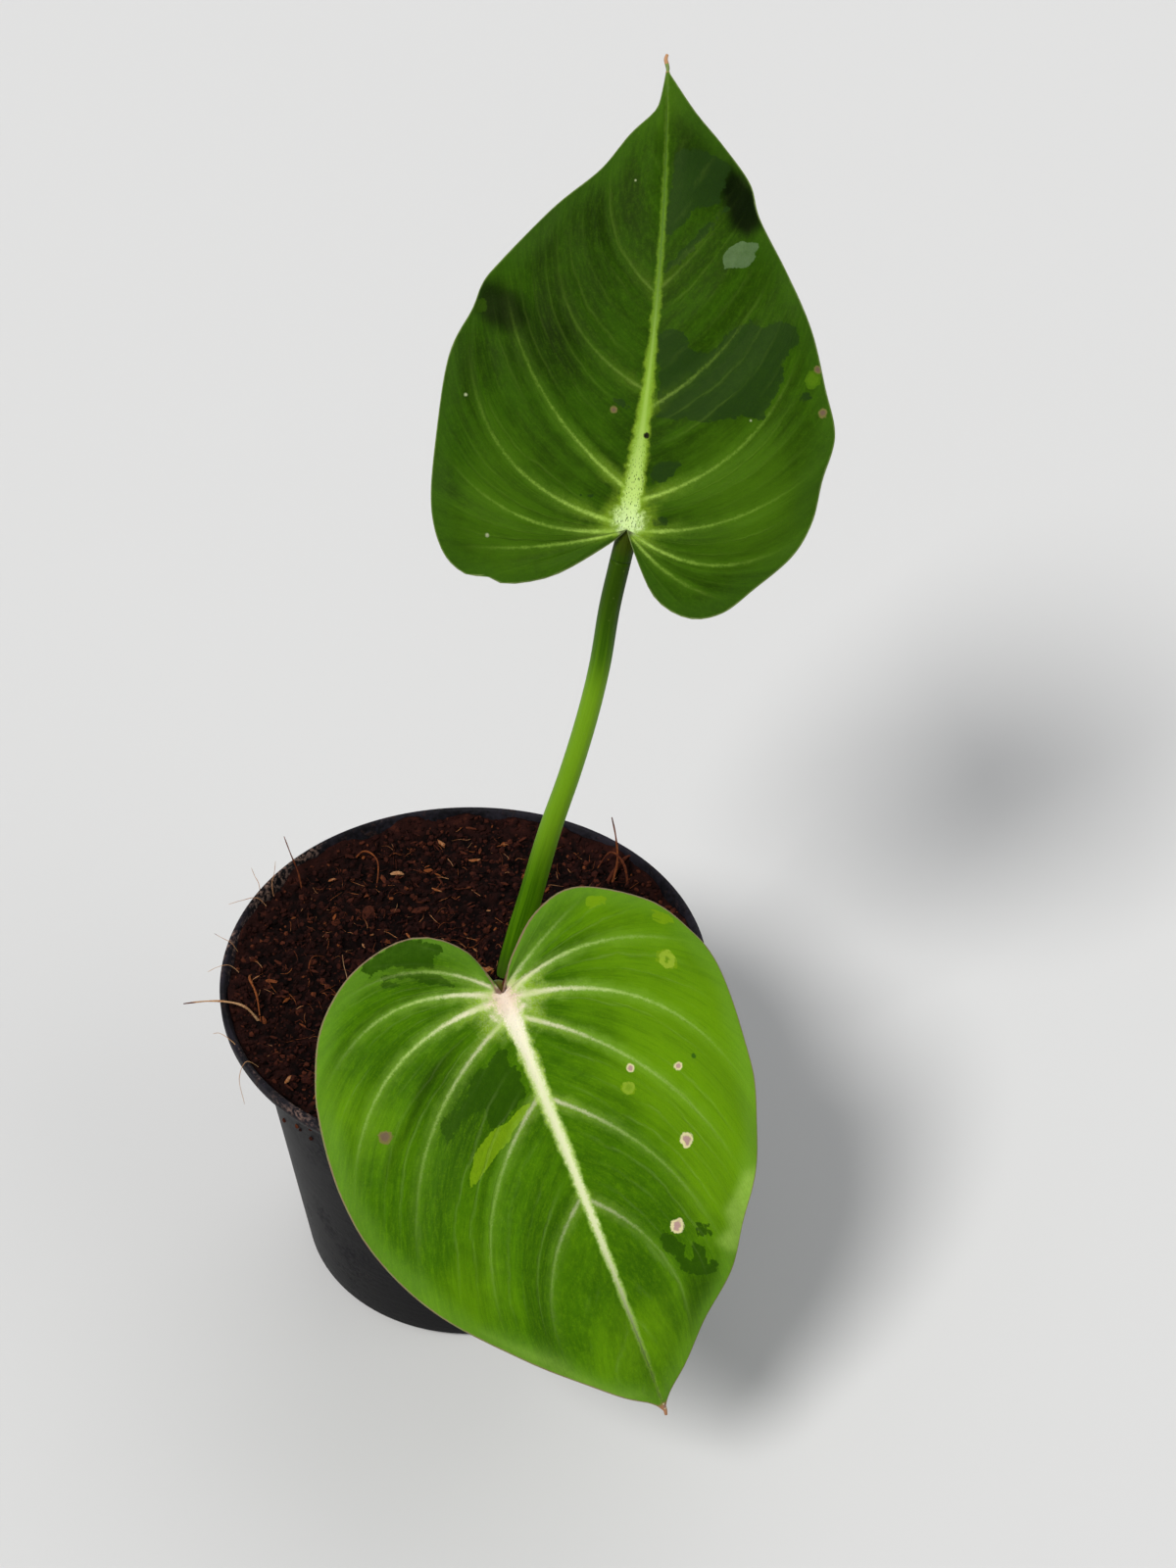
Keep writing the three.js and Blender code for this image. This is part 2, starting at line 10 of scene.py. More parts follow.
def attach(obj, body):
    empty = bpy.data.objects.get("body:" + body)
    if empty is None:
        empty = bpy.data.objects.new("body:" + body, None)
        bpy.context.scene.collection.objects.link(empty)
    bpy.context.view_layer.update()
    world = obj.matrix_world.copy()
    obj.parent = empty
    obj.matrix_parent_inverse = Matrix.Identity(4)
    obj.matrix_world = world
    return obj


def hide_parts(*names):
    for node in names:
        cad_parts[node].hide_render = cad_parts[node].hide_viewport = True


# A young philodendron gloriosum in its nursery pot. Sizes below are in millimetres.

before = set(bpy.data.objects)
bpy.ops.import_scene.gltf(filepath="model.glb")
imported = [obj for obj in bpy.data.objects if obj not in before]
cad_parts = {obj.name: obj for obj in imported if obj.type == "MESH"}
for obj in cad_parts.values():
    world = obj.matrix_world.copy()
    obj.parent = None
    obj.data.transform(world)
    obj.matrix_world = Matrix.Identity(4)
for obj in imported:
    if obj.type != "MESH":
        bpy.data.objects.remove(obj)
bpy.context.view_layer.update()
mm = 0.001
print("frame loaded, nodes:", ", ".join(sorted(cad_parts)))


# numbers and lines

def clamp(k):
    return min(1, max(0, k))


def polar(reach, angle):
    return reach * math.cos(angle), reach * math.sin(angle)


def ramp(stops, k):
    place = clamp(k) * (len(stops) - 1)
    index = min(int(place), len(stops) - 2)
    return stops[index] + (stops[index + 1] - stops[index]) * (place - index)


def hermite(start, end, leave, arrive, s):
    rise = end - start
    squared = (3 * rise - 2 * leave - arrive) * s ** 2
    return start + leave * s + squared + (leave + arrive - 2 * rise) * s ** 3


class Line:
    # a curve that is asked for its points by the share of its length

    def __init__(self, bend, steps=400):
        self.bend = bend
        self.steps = steps
        spots = [bend(i / steps) for i in range(steps + 1)]
        self.run = [0]
        for a, b in zip(spots, spots[1:]):
            self.run.append(self.run[-1] + (b - a).length)
        self.length = self.run[-1]

    def at(self, share):
        goal = clamp(share) * self.length
        i = min(self.steps - 1, bisect.bisect_right(self.run, goal) - 1)
        part = (goal - self.run[i]) / max(1e-9, self.run[i + 1] - self.run[i])
        return self.bend((i + part) / self.steps)

    def heading(self, share):
        return (self.at(share + 0.002) - self.at(share - 0.002)).normalized()

    def nearest(self, aim, tries=500):
        return min(range(tries + 1), key=lambda i: (self.at(i / tries) - aim).length) / tries


def evenLine(stops):
    points = [Vector(p) for p in stops]
    last = len(points) - 1

    def bend(k):
        i = min(int(k * last), last - 1)
        before, start, end, after = (points[min(last, max(0, j))] for j in range(i - 1, i + 3))
        return hermite(start, end, (end - before) / 2, (after - start) / 2, k * last - i)
    return Line(bend)


def springLine(stops):
    # bends evenly however unevenly its stops are spaced
    points = [Vector(p) for p in stops]
    points = [2 * points[0] - points[1], *points, 2 * points[-1] - points[-2]]
    last = len(points) - 3

    def bend(k):
        i = min(int(k * last), last - 1)
        a, b, c, d = points[i:i + 4]
        p, q, r = ((y - x).length ** 0.5 for x, y in ((a, b), (b, c), (c, d)))
        leave = ((b - a) / p - (c - a) / (p + q) + (c - b) / q) * q
        arrive = ((c - b) / q - (d - b) / (q + r) + (d - c) / r) * q
        return hermite(b, c, leave, arrive, k * last - i)
    return Line(bend)


# meshes

def meshOf(name, bm):
    mesh = bpy.data.meshes.new(name)
    bm.to_mesh(mesh)
    bm.free()
    return mesh


def addObject(name, data):
    thing = bpy.data.objects.new(name, data)
    bpy.context.scene.collection.objects.link(thing)
    return thing


def newPiece(name, bm, materials, nodes, smooth=True):
    mesh = meshOf(name, bm)
    for material in materials:
        mesh.materials.append(material)
    if smooth:
        mesh.shade_smooth()
    piece = addObject(name, mesh)
    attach(piece, "root")
    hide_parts(*nodes)
    print(name, "has", sum(len(face.vertices) - 2 for face in mesh.polygons), "triangles")
    return piece


def addTube(bm, line, radiusAt, start=0, end=1, *, sides, steps, slotIndex=0, layer=None):
    # a grid rolled round the line; the rings at both ends close to a point
    grid = bmesh.ops.create_grid(bm, x_segments=sides, y_segments=steps + 2, size=1)["verts"]
    across = None
    rings = []
    for j in range(steps + 3):
        share = start + (end - start) * min(steps, max(0, j - 1)) / steps
        heading = line.heading(share)
        if across is None:
            across = Vector((0, 1, 0)) if abs(heading.x) > 0.8 else Vector((1, 0, 0))
        across = (across - heading * across.dot(heading)).normalized()
        radius = 0 if j in (0, steps + 2) else radiusAt(share)
        rings.append((line.at(share), across.copy(), heading.cross(across), radius, share * line.length))
    for index, vert in enumerate(grid):
        i, j = index % (sides + 1), index // (sides + 1)
        x, y = polar(1, 2 * math.pi * (i % sides) / sides)
        centre, normal, side, radius, along = rings[j]
        vert.co = (centre + (normal * x + side * y) * radius) * mm
        if layer:
            vert[layer] = Vector((x, y, along))
    for face in {face for vert in grid for face in vert.link_faces}:
        face.material_index = slotIndex
    bmesh.ops.remove_doubles(bm, verts=grid, dist=1e-7)


# materials: a Value is a node's output that can be written in sums

class Value:
    def __init__(self, look, source):
        self.look = look
        self.source = source

    def sum(self, operation, *values):
        return self.look.node("Math", {"operation": operation}, values)

    def __add__(self, other):
        return self.sum("ADD", self, other)

    def __radd__(self, other):
        return self.sum("ADD", other, self)

    def __sub__(self, other):
        return self.sum("SUBTRACT", self, other)

    def __rsub__(self, other):
        return self.sum("SUBTRACT", other, self)

    def __mul__(self, other):
        return self.sum("MULTIPLY", self, other)

    def __rmul__(self, other):
        return self.sum("MULTIPLY", other, self)

    def __truediv__(self, other):
        return self.sum("DIVIDE", self, other)

    def __pow__(self, other):
        return self.sum("POWER", self, other)

    def __abs__(self):
        return self.sum("ABSOLUTE", self)

    def fraction(self):
        return self.sum("FRACT", self)

    def most(self, other):
        return self.sum("MAXIMUM", self, other)

    def fade(self, start, end):
        # 0 at start and beyond, 1 at end and beyond
        settings = {"interpolation_type": "SMOOTHSTEP"}
        return self.look.node("MapRange", settings, {"Value": self, "From Min": start, "From Max": end})

    def fadeAt(self, heights):
        # the same between two heights in millimetres
        return self.fade(heights[0] * mm, heights[1] * mm)


class Look:
    # a material or a world; a tone in it is a colour, a Value or the name of a paint in its recipe

    def __init__(self, name, recipe, kind="materials"):
        self.recipe = recipe
        self.owner = getattr(bpy.data, kind).new(name)
        self.owner.use_nodes = True
        self.tree = self.owner.node_tree
        self.tree.nodes.clear()

    def node(self, kind, settings=None, values=(), output=0):
        made = self.tree.nodes.new("ShaderNode" + kind)
        for name, value in (settings or {}).items():
            if name == "stops":
                while len(made.color_ramp.elements) < len(value):
                    made.color_ramp.elements.new(1)
                for element, (position, colour) in zip(made.color_ramp.elements, value):
                    element.position = position
                    element.color = colour
            else:
                setattr(made, name, value)
        for name, value in values.items() if isinstance(values, dict) else enumerate(values):
            if isinstance(value, Value):
                self.tree.links.new(value.source, made.inputs[name])
            else:
                made.inputs[name].default_value = value
        return None if output is None else Value(self, made.outputs[output])

    def attribute(self, name, output="Vector"):
        return self.node("Attribute", {"attribute_name": name}, output=output)

    def place(self):
        return self.node("TexCoord", output="Object")

    def parts(self, vector):
        split = self.node("SeparateXYZ", {}, (vector,)).source.node
        return [Value(self, output) for output in split.outputs]

    def vector(self, *parts):
        return self.node("CombineXYZ", {}, parts)

    def noise(self, vector, scale, detail=2, roughness=0.5):
        values = {"Vector": vector, "Scale": scale, "Detail": detail, "Roughness": roughness}
        return self.node("TexNoise", {}, values)

    def mix(self, factor, first, second, kind="MIX"):
        first, second = (self.recipe[tone] if isinstance(tone, str) else tone for tone in (first, second))
        settings = {"data_type": "RGBA", "blend_type": kind}
        return self.node("Mix", settings, {0: factor, 6: first, 7: second}, 2)

    def over(self, tone, *coats):
        # coats laid over a tone one after another, each with its mask
        for mask, coat in coats:
            tone = self.mix(mask, tone, coat)
        return tone

    def bump(self, height, distance, strength=1):
        return self.node("Bump", {}, {"Height": height, "Distance": distance, "Strength": strength})

    def finish(self, values, shader="BsdfPrincipled", end="OutputMaterial"):
        self.node(end, {}, {"Surface": self.node(shader, {}, values)}, None)
        return self.owner


def paint(red, green, blue):
    # a screen colour, 0 to 255, as light
    light = [((c / 255 + 0.055) / 1.055) ** 2.4 if c > 10 else c / 255 / 12.92 for c in (red, green, blue)]
    return (*light, 1)


# camera, floor and light

camera = {
    "place": (30.5, -526.6, 626.9),
    "tiltDown": 42.07,
    "lens": 70,
    "sensor": 36,
    "clipStart": 0.01,
}

studio = {
    "floorSize": 9,
    "floor": paint(206, 205, 203),
    "floorShade": paint(196, 194, 190),
    "horizon": paint(214, 217, 221),
    "zenith": paint(140, 143, 148),
    # where each lamp shines from, how wide it is in degrees and how strong
    "lamps": [
        {"name": "key", "from": (-0.75, -0.95, 1.55), "width": 18, "strength": 2.9},
        {"name": "fill", "from": (1.3, -0.5, 0.9), "width": 50, "strength": 0.5},
        {"name": "back", "from": (0.3, 1.3, 1.2), "width": 50, "strength": 0.6},
    ],
}


def makeStudio():
    lens = bpy.data.cameras.new("camera")
    lens.lens = camera["lens"]
    lens.sensor_width = camera["sensor"]
    lens.clip_start = camera["clipStart"]
    eye = addObject("camera", lens)
    eye.location = Vector(camera["place"]) * mm
    eye.rotation_euler = (math.radians(90 - camera["tiltDown"]), 0, 0)
    bpy.context.scene.camera = eye

    look = Look("pale floor", studio)
    drift = look.noise(look.place(), 3, 3)
    tone = look.mix(drift * 0.2, "floor", "floorShade")
    bm = bmesh.new()
    bmesh.ops.create_grid(bm, x_segments=8, y_segments=8, size=studio["floorSize"] / 2)
    mesh = meshOf("floor", bm)
    mesh.materials.append(look.finish({"Base Color": tone, "Roughness": 0.7}))
    floor = addObject("floor", mesh)

    sky = Look("studio sky", studio, "worlds")
    rise = abs(sky.parts(sky.node("TexCoord", output="Generated"))[2])
    tone = sky.mix(rise.fade(0.03, 0.45), "horizon", "zenith")
    bpy.context.scene.world = sky.finish({"Color": tone}, "Background", "OutputWorld")

    for settings in studio["lamps"]:
        lamp = bpy.data.lights.new(settings["name"], "SUN")
        lamp.angle = math.radians(settings["width"])
        lamp.energy = settings["strength"]
        holder = addObject(settings["name"], lamp)
        holder.location = settings["from"]
        holder.rotation_euler = (-holder.location).to_track_quat("-Z", "Y").to_euler()

    bpy.context.scene.view_settings.view_transform = "Standard"
    print("studio ready")


# leaves: u runs along the midrib from the notch to the tip, v across it. A vein is the u of its
# root, the u and v of its end and its bow, and its force is how strongly it shows. q counts the
# veins and t runs out along them. A patch is an outline of u and v, and a soft patch also says
# how pale it is or, below 0, how dark a painted shade it lays over a fold.

blade = {
    "thickness": 0.6,
    "marginTaper": 0.45,
    "quilt": 1.3,
    "ripple": 0.07,
    "ripplesPerVein": 4,
    "wave": 0.8,
    "waveTurn": 5.1,
    # columns crowd towards the veins and rows towards the midrib and the margin
    "columnsPerVein": 24,
    "columnsCrowd": 0.11,
    "leastColumn": 0.015,
    "rows": 66,
    "rowsCrowd": 1.25,
    "rowsEnd": 0.985,
    "lastRows": [0.992, 0.997, 1],
    "rimSamples": 1500,
    "veinSamples": 600,
    "furrow": 0.22,
    "furrowReach": 1.3,
    "veinFurrow": 0.16,
    "veinReach": 0.5,
    "ribBelow": 0.8,
    "ribEnd": 0.1,
    "ribReach": 0.6,
    "midribBelow": [2.3, 0.5],
    "midribReach": [1.9, 0.7],
    "clearOfMidrib": 1.2,
    "patchReach": 3,
    "softEdge": 5,
    "weld": 0.0002,
    "blushReach": 6.5,
}

# the numbers kept with each point of a blade, for its material
bladeVectors = ["bladePlace", "bladeVein", "bladeMark"]
bladeNumbers = ["bladeForce", "bladeSoft", "bladeSun", "bladeUnder"]

# kinds of spot: the share of it that its heart takes up, then the paints of its ring and its heart
spotKinds = {
    "pale": (0.68, paint(206, 198, 146), paint(168, 138, 128)),
    "brown": (0.7, paint(104, 98, 52), paint(100, 82, 64)),
    "green": (0.7, paint(52, 92, 14), paint(52, 92, 14)),
    "fresh": (0.7, paint(64, 98, 10), paint(72, 106, 12)),
    "black": (0.7, paint(30, 30, 14), paint(14, 14, 8)),
    "speck": (0.7, paint(130, 142, 100), paint(170, 174, 140)),
    "dim": (0.7, paint(34, 58, 2), paint(36, 60, 3)),
    "lime": (0.6, paint(124, 152, 36), paint(112, 144, 28)),
    "lime ring": (0.4, paint(134, 160, 40), paint(96, 132, 14)),
}

frontLeaf = {
    "base": (11, -46, 129.5),
    "tip": (48.3, -104, 51.3),
    "facing": (0.282, -0.701, 0.655),
    "arch": 9,
    "droop": 5,
    "sway": -1.5,
    # the drip tip curls past the blade: u, v and lift
    "curl": [(101.5, 0, 0), (103.2, 0.1, 0), (104.8, -0.1, 0.2)],
    # u, v, how far they spread and how high, or below 0 how deep, they are
    "dents": [(74, 21, 9, 1.2), (-6, -24, 8, -1)],
    "halves": [
        {
            "side": -1,
            "outline": [
                (0, 0), (-0.5, -0.9), (-4, -1.4), (-11, -3.3), (-17.5, -10), (-19.5, -18.5),
                (-16.5, -30), (-8.5, -40), (2, -46.5), (12, -49.5), (28, -51.5), (42.5, -49.5),
                (59.5, -42), (77.5, -27.5), (94.5, -10.5), (100.5, -2.8), (104.3, 0),
            ],
            "veins": [(0, -11, -38, 0.17), (1.2, 8, -49, 0.2), (1.4, 34, -51, 0.195),
                      (5, 57, -43.5, 0.15), (23.2, 76, -29, 0.15), (48, 88, -17, 0.17)],
            "force": [0.75, 1, 1, 0.58, 0.42, 0.3],
        },
        {
            "side": 1,
            "outline": [
                (0, 0), (-0.6, 0.9), (-3, 2.3), (-7, 5.8), (-13.5, 15), (-15, 26.5), (-6, 41),
                (3.5, 47.5), (14, 50.5), (32, 48.5), (43.5, 46.5), (58.5, 40), (76.5, 27), (89, 14),
                (99, 3.5), (104.3, 0),
            ],
            "veins": [(0, -14.2, 30.5, 0.03), (0.9, 10, 49.5, 0.14), (1.5, 46, 45.5, 0.19),
                      (5.2, 64.5, 36.3, 0.12), (24.6, 78, 26, 0.11), (49, 92, 11, 0.145)],
            "force": [0.65, 1, 1, 0.75, 0.5, 0.32],
        },
    ],
    "darkPatches": [
        [(10.5, -5.5), (11.5, -4.5), (15, -5.5), (16, -4.5), (21.5, -4.5), (23.5, -6.5), (25, -10),
         (26.5, -12.5), (26, -15.5), (24.5, -16), (22.5, -14.5), (21.5, -15), (21.5, -18.5), (24, -23.5),
         (26, -26), (23.5, -25), (22, -25.5), (19.5, -23), (19, -19.5), (17, -17), (14.5, -15), (13, -10)],
        [(-17.5, -27.5), (-18.5, -24), (-19, -19.5), (-19.5, -16.5), (-18.5, -13.5), (-17, -10),
         (-15, -8.5), (-13.5, -9.5), (-15, -13), (-14.5, -13.5), (-13, -12.5), (-11, -11.5),
         (-10.5, -11.5), (-11.5, -13.5), (-12.5, -16), (-14, -19), (-14.5, -22), (-15, -25), (-16, -28)],
        [(-14.5, -26), (-14, -24.5), (-13.5, -22), (-12.5, -19.5), (-11.5, -16), (-10.5, -13.5),
         (-9, -11.5), (-7.5, -10), (-6, -9), (-5.5, -10), (-6.5, -12), (-8, -14), (-9.5, -16),
         (-11, -17.5), (-11.5, -20.5), (-12, -22.5), (-13, -24.5)],
        [(-12, -24.5), (-12, -22.5), (-11, -20.5), (-10, -20.5), (-10, -22.5), (-11, -24.5)],
        [(63, 12), (65, 14.5), (68.5, 16), (71, 15.5), (72, 16.5), (68.5, 18), (71, 20.5), (73.5, 20),
         (75.5, 22.5), (78, 21), (76.5, 17), (74, 14), (71.5, 13.5), (67, 11.5)],
        [(64.5, 20.5), (66.5, 23.5), (70, 23), (68.5, 21.5), (66.5, 19.5)],
    ],
    "lightPatches": [
        [(-12, 27), (-12, 28.5), (-10.5, 32), (-9, 31.5), (-9.5, 29), (-9, 27), (-10.5, 26.5)],
        [(-4, 41), (-2.5, 41.5), (-2, 43), (-0.5, 45), (2, 45), (1, 43.5), (0.5, 41.5), (-1, 41.5),
         (-0.5, 39.5)],
        [(5.5, 37.5), (6, 40.5), (8.5, 41.5), (10.5, 41), (11, 39), (9.5, 38.5), (7.5, 36)],
        [(24.5, -4.5), (24.5, -7), (26.5, -11), (26.5, -14.5), (28.5, -19), (30, -21), (33.5, -23.5),
         (36.5, -25), (35.5, -22), (33.5, -19), (31.5, -15.5), (31, -13), (28.5, -10.5), (26.5, -6.5)],
        [(29, 15.5), (29.5, 18), (31.5, 19.5), (32, 18), (31, 16)],
    ],
    # u, v, radius and kind
    "spots": [(26.5, 20, 0.95, "pale"), (30.5, 30.5, 1.0, "pale"), (46.5, 25.5, 1.75, "pale"),
              (63.5, 16, 1.6, "pale"), (19, -37.5, 1.5, "brown"), (8, 39, 2, "lime ring"),
              (30.2, 17.4, 1.5, "lime"), (30, 35, 0.55, "green")],
    # soft patches: above 0 a paler bloom, below 0 painted shade over the folds
    "softPatches": [
        (1.6, [(59.5, 36), (59.5, 39), (63.5, 38), (71, 33.5), (76, 29.5), (74, 26), (71, 24), (69.5, 28.5),
               (65.5, 28.5), (63.5, 32)]),
        (0.8, [(67.5, -34), (73, -28.5), (80.5, -20), (86, -16.5), (93, -11), (97, -4.5), (97, -8.5),
               (91, -14), (84, -21.5), (74.5, -29)]),
        (-1.2, [(8.5, -22.5), (12, -27.5), (17.5, -32), (22, -38), (28.5, -42), (28.5, -41.5), (23, -36),
                (19.5, -31), (14.5, -25), (9, -17), (6, -13), (6.5, -17)]),
        (-0.9, [(74, 14.5), (76.5, 21.5), (79, 22), (82, 19.5), (85.5, 15), (90, 11), (88, 10),
                (80, 11.5)]),
    ],
    # places lit by painted light, or below 0 darkened by painted shade: u, v, how far they spread and by
    # how much
    "sunny": [(30, 38, 26, 1.1), (60, 36, 14, 1.3), (12, -42, 13, 0.5), (-5, 30, 12, 0.4),
              (56, -32, 13, 0.6), (20, -16, 13, -0.8), (40, -38, 9, -0.4), (55, -10, 13, -0.5),
              (48, 12, 10, -0.5), (-12, -16, 10, -0.6), (84, 0, 12, 0.7)],
    "look": {
        "shade": paint(34, 66, 2),
        "deep": paint(48, 86, 2),
        "green": paint(64, 106, 3),
        "fresh": paint(96, 138, 8),
        "rimGreen": paint(104, 146, 44),
        "bloom": paint(134, 168, 66),
        "vein": paint(222, 214, 184),
        "veinMid": paint(164, 190, 102),
        "veinHalo": paint(120, 160, 48),
        "midrib": paint(234, 224, 202),
        "midribMid": paint(206, 212, 162),
        "midribEnd": paint(80, 104, 40),
        "midribFades": [0.52, 0.1],
        "blush": paint(216, 182, 164),
        "pool": 4.2,
        "poolHalo": paint(150, 182, 52),
        "notch": paint(80, 34, 27),
        "margin": paint(134, 104, 88),
        "dark": paint(34, 66, 2),
        "light": paint(106, 140, 12),
        "under": paint(116, 148, 76),
        "underRib": paint(170, 188, 122),
        "veinWidth": 0.18,
        "notchBlush": 1,
        "tip": paint(150, 108, 78),
        "midribWidth": 1.62,
        "midribTaper": 1.16,
        "midribFlare": 1.15,
        "flareEnd": 16,
        "midribSpecks": 0.15,
    },
}

upperLeaf = {
    "base": (39, 10, 218),
    "tip": (48, 78, 295.7),
    "facing": (-0.098, -0.743, 0.662),
    "arch": 8,
    "droop": 4,
    "sway": -3,
    "curl": [(100.6, -0.3, 0), (101.6, -0.3, 0.1), (102.6, 0, 0.4), (103.6, 0.3, 0.9), (104.7, 0.1, 1.1)],
    "dents": [(48, 33, 9, -3), (63, 27, 9, 1.4), (77, -18, 6.5, -2.6), (-11, 36, 6, -2),
              (-2, -38, 9, -2.4)],
    "halves": [
        {
            "side": 1,
            "outline": [
                (0, 0), (-4, 4.3), (-11, 15), (-13.7, 24.5), (-13.4, 29), (-12.3, 31.2), (-12.4, 35.5),
                (-9.2, 40.2), (-3, 43.2), (5.5, 44.4), (18, 44), (35, 42), (45, 38.3), (51.2, 36.2),
                (56.2, 32.2), (67.2, 22.5), (78, 12), (85.9, 6.3), (90.9, 2), (94, 0.7), (103.5, 0),
            ],
            "veins": [(0, -6, 42.5, 0.055), (0, 16, 44.2, 0.15), (1, 45, 38.6, 0.21),
                      (8, 56, 32, 0.105), (30, 70, 19.5, 0.18), (51, 82, 9, 0.155)],
            "force": [0.9, 1, 0.85, 0.72, 0.2, 0.14],
        },
        {
            "side": -1,
            "outline": [
                (0, 0), (-5.5, -2.3), (-14.5, -7.5), (-18.2, -15), (-16.5, -22.3), (-10.5, -29),
                (-2.7, -36.7), (5, -40.5), (13.8, -42), (23.7, -44), (34, -41), (46, -37), (58, -30.6),
                (69, -23.8), (77.5, -20.6), (85, -14.2), (91.6, -7.8), (98.9, -2.1), (101, -0.7),
                (103.5, 0),
            ],
            "veins": [(0, -14, -25.5, 0.1), (0, 3, -40, 0.19), (0, 20, -43.3, 0.12),
                      (6, 48, -36, 0.16), (26, 62, -28.5, 0.1), (52, 78, -20.5, 0.05)],
            "force": [0.85, 0.95, 0.8, 0.75, 0.3, 0.14],
        },
    ],
    "darkPatches": [
        [(42, -4.5), (43.5, -6), (43.5, -9.5), (39.5, -11), (39, -15), (41, -17.5), (43.5, -18),
         (47, -23.5), (46, -26.5), (47.5, -30), (46, -34), (42.5, -35), (41, -32), (33.5, -31.5),
         (26.5, -28), (25.5, -19.5), (24, -14), (25, -11.5), (24, -7), (24.5, -5), (35, -5), (37, -4)],
        [(14, -5), (15.5, -7.5), (15.5, -11), (12, -9.5), (10.5, -7), (10.5, -5)],
        [(82, -3.5), (84, -8), (82.5, -13), (81, -17), (79, -15.5), (72, -14.5), (70.5, -10), (66, -6.5),
         (64, -4.5), (65, -3), (76, -4)],
        [(55.5, -4), (60.5, -7), (64.5, -10.5), (71.5, -15.5), (71, -17), (63.5, -11.5), (59, -8)],
        [(7, 10.5), (7.5, 9), (7, 7.5), (6, 8.5), (6.5, 10)],
        [(2.5, -5), (3, -7), (3, -9), (2, -8.5), (1.5, -6.5)],
        [(31.5, -34.5), (32.5, -36.5), (33, -38.5), (31, -38), (30.5, -35.5)],
        [(28, 5), (28, 3), (26, 1), (26.5, 2.5), (26.5, 4)],
    ],
    "lightPatches": [
        [(60, -16.5), (61.5, -17), (63.5, -19.5), (64, -24), (60.5, -23.5), (58, -22), (57.5, -17)],
    ],
    "spots": [(35.5, -38, 1.8, "fresh"), (37.7, -39, 0.8, "brown"), (28.5, -41, 1.0, "brown"),
              (46.5, 36, 1.6, "dim"), (25.5, 4.5, 0.75, "brown"), (20.5, -3, 0.7, "black"),
              (26.5, 37.6, 0.35, "speck"), (-3.5, 31, 0.45, "speck"), (75.5, 4, 0.22, "speck"),
              (25.5, -25.5, 0.25, "speck")],
    # soft patches of painted shade over the folds and kinks of the blade
    "softPatches": [
        (-2.1, [(81, -16), (79, -19), (75.5, -22), (71.5, -23.5), (67.5, -24.5), (65, -21.5), (66.5, -18),
                (72, -15.5), (76, -14)]),
        (-1, [(52, 38), (52, 33), (49, 28), (44, 25), (41, 28), (42, 34), (46, 38)]),
        (-0.6, [(53, 36), (51, 28), (47, 20), (42, 13), (38, 15), (38, 24), (40, 31), (45, 38)]),
        (-0.9, [(92, -3), (88, -8), (83.5, -13.5), (79, -13), (78, -7), (79, -3)]),
    ],
    # places of painted light, or below 0 of painted shade, as on the front leaf
    "sunny": [(2, 28, 20, 0.6), (8, -28, 18, 0.9), (94, 0, 8, 0.8), (36, 38, 10, -0.5), (40, 19, 13, -0.8),
              (65, 12, 13, -0.7), (12, 41, 8, -0.4), (53, -28, 10, -0.4), (36, -24, 12, 0.2)],
    # its greens are much darker than the front leaf's: painted shade, for less light reaches this leaf
    "look": {
        "shade": paint(14, 30, 1),
        "deep": paint(28, 52, 2),
        "green": paint(40, 72, 3),
        "fresh": paint(62, 96, 10),
        "rimGreen": paint(52, 84, 18),
        "bloom": paint(80, 112, 56),
        "vein": paint(160, 190, 84),
        "veinMid": paint(124, 156, 56),
        "veinHalo": paint(72, 108, 18),
        "midrib": paint(184, 210, 116),
        "midribMid": paint(124, 158, 50),
        "midribEnd": paint(76, 106, 38),
        "midribFades": [0.76, 0.4],
        "blush": paint(206, 226, 168),
        "pool": 3,
        "poolHalo": paint(122, 152, 34),
        "notch": paint(56, 58, 26),
        "margin": paint(116, 132, 76),
        "dark": paint(28, 50, 14),
        "light": paint(80, 102, 64),
        "under": paint(104, 136, 72),
        "underRib": paint(150, 174, 106),
        "veinWidth": 0.11,
        "notchBlush": 0.25,
        "tip": paint(176, 132, 96),
        "midribWidth": 1.15,
        "midribTaper": 1.8,
        "midribFlare": 0.95,
        "flareEnd": 40,
        "midribSpecks": 0.8,
    },
}


def bladePlane(leaf):
    base = Vector(leaf["base"])
    along = Vector(leaf["tip"]) - base
    length = along.length
    along.normalize()
    up = Vector(leaf["facing"])
    up = (up - along * up.dot(along)).normalized()
    return {"base": base, "along": along, "across": up.cross(along), "up": up, "length": length}


def bladeHeight(leaf, length, u, v):
    k = u / length
    arch = 4 * leaf["arch"] * k * ((1 - k) if u > 0 else 1 / (1 - u / 20))
    height = arch - leaf["droop"] * (v / 50) ** 2
    for dentU, dentV, reach, depth in leaf["dents"]:
        height += depth * math.exp(-((u - dentU) ** 2 + (v - dentV) ** 2) / reach ** 2)
    return height


def onBlade(leaf, plane, u, v, lift):
    height = bladeHeight(leaf, plane["length"], u, v) + lift
    return plane["base"] + plane["along"] * u + plane["across"] * v + plane["up"] * height


def swayAt(leaf, length, u):
    return 4 * leaf["sway"] * (u / length) * (1 - u / length)


def spokesOf(leaf, half, length):
    # each q has a spoke from the midrib to the margin: its start, its bend and its end
    margin = evenLine(half["outline"])
    shares = [0] + [margin.nearest(Vector(vein[1:3])) for vein in half["veins"]] + [1]
    roots = [0] + [vein[0] for vein in half["veins"]] + [length]
    bows = [0] + [vein[3] for vein in half["veins"]] + [0]
    last = len(shares) - 1

    def spoke(q):
        u = ramp(roots, q / last)
        start = Vector((u, swayAt(leaf, length, u)))
        end = margin.at(ramp(shares, q / last))
        run = end - start
        bow = 2 * ramp(bows, q / last) * min(1, q)
        return start, start + run / 2 + half["side"] * bow * Vector((-run.y, run.x)), end
    return spoke, roots, margin


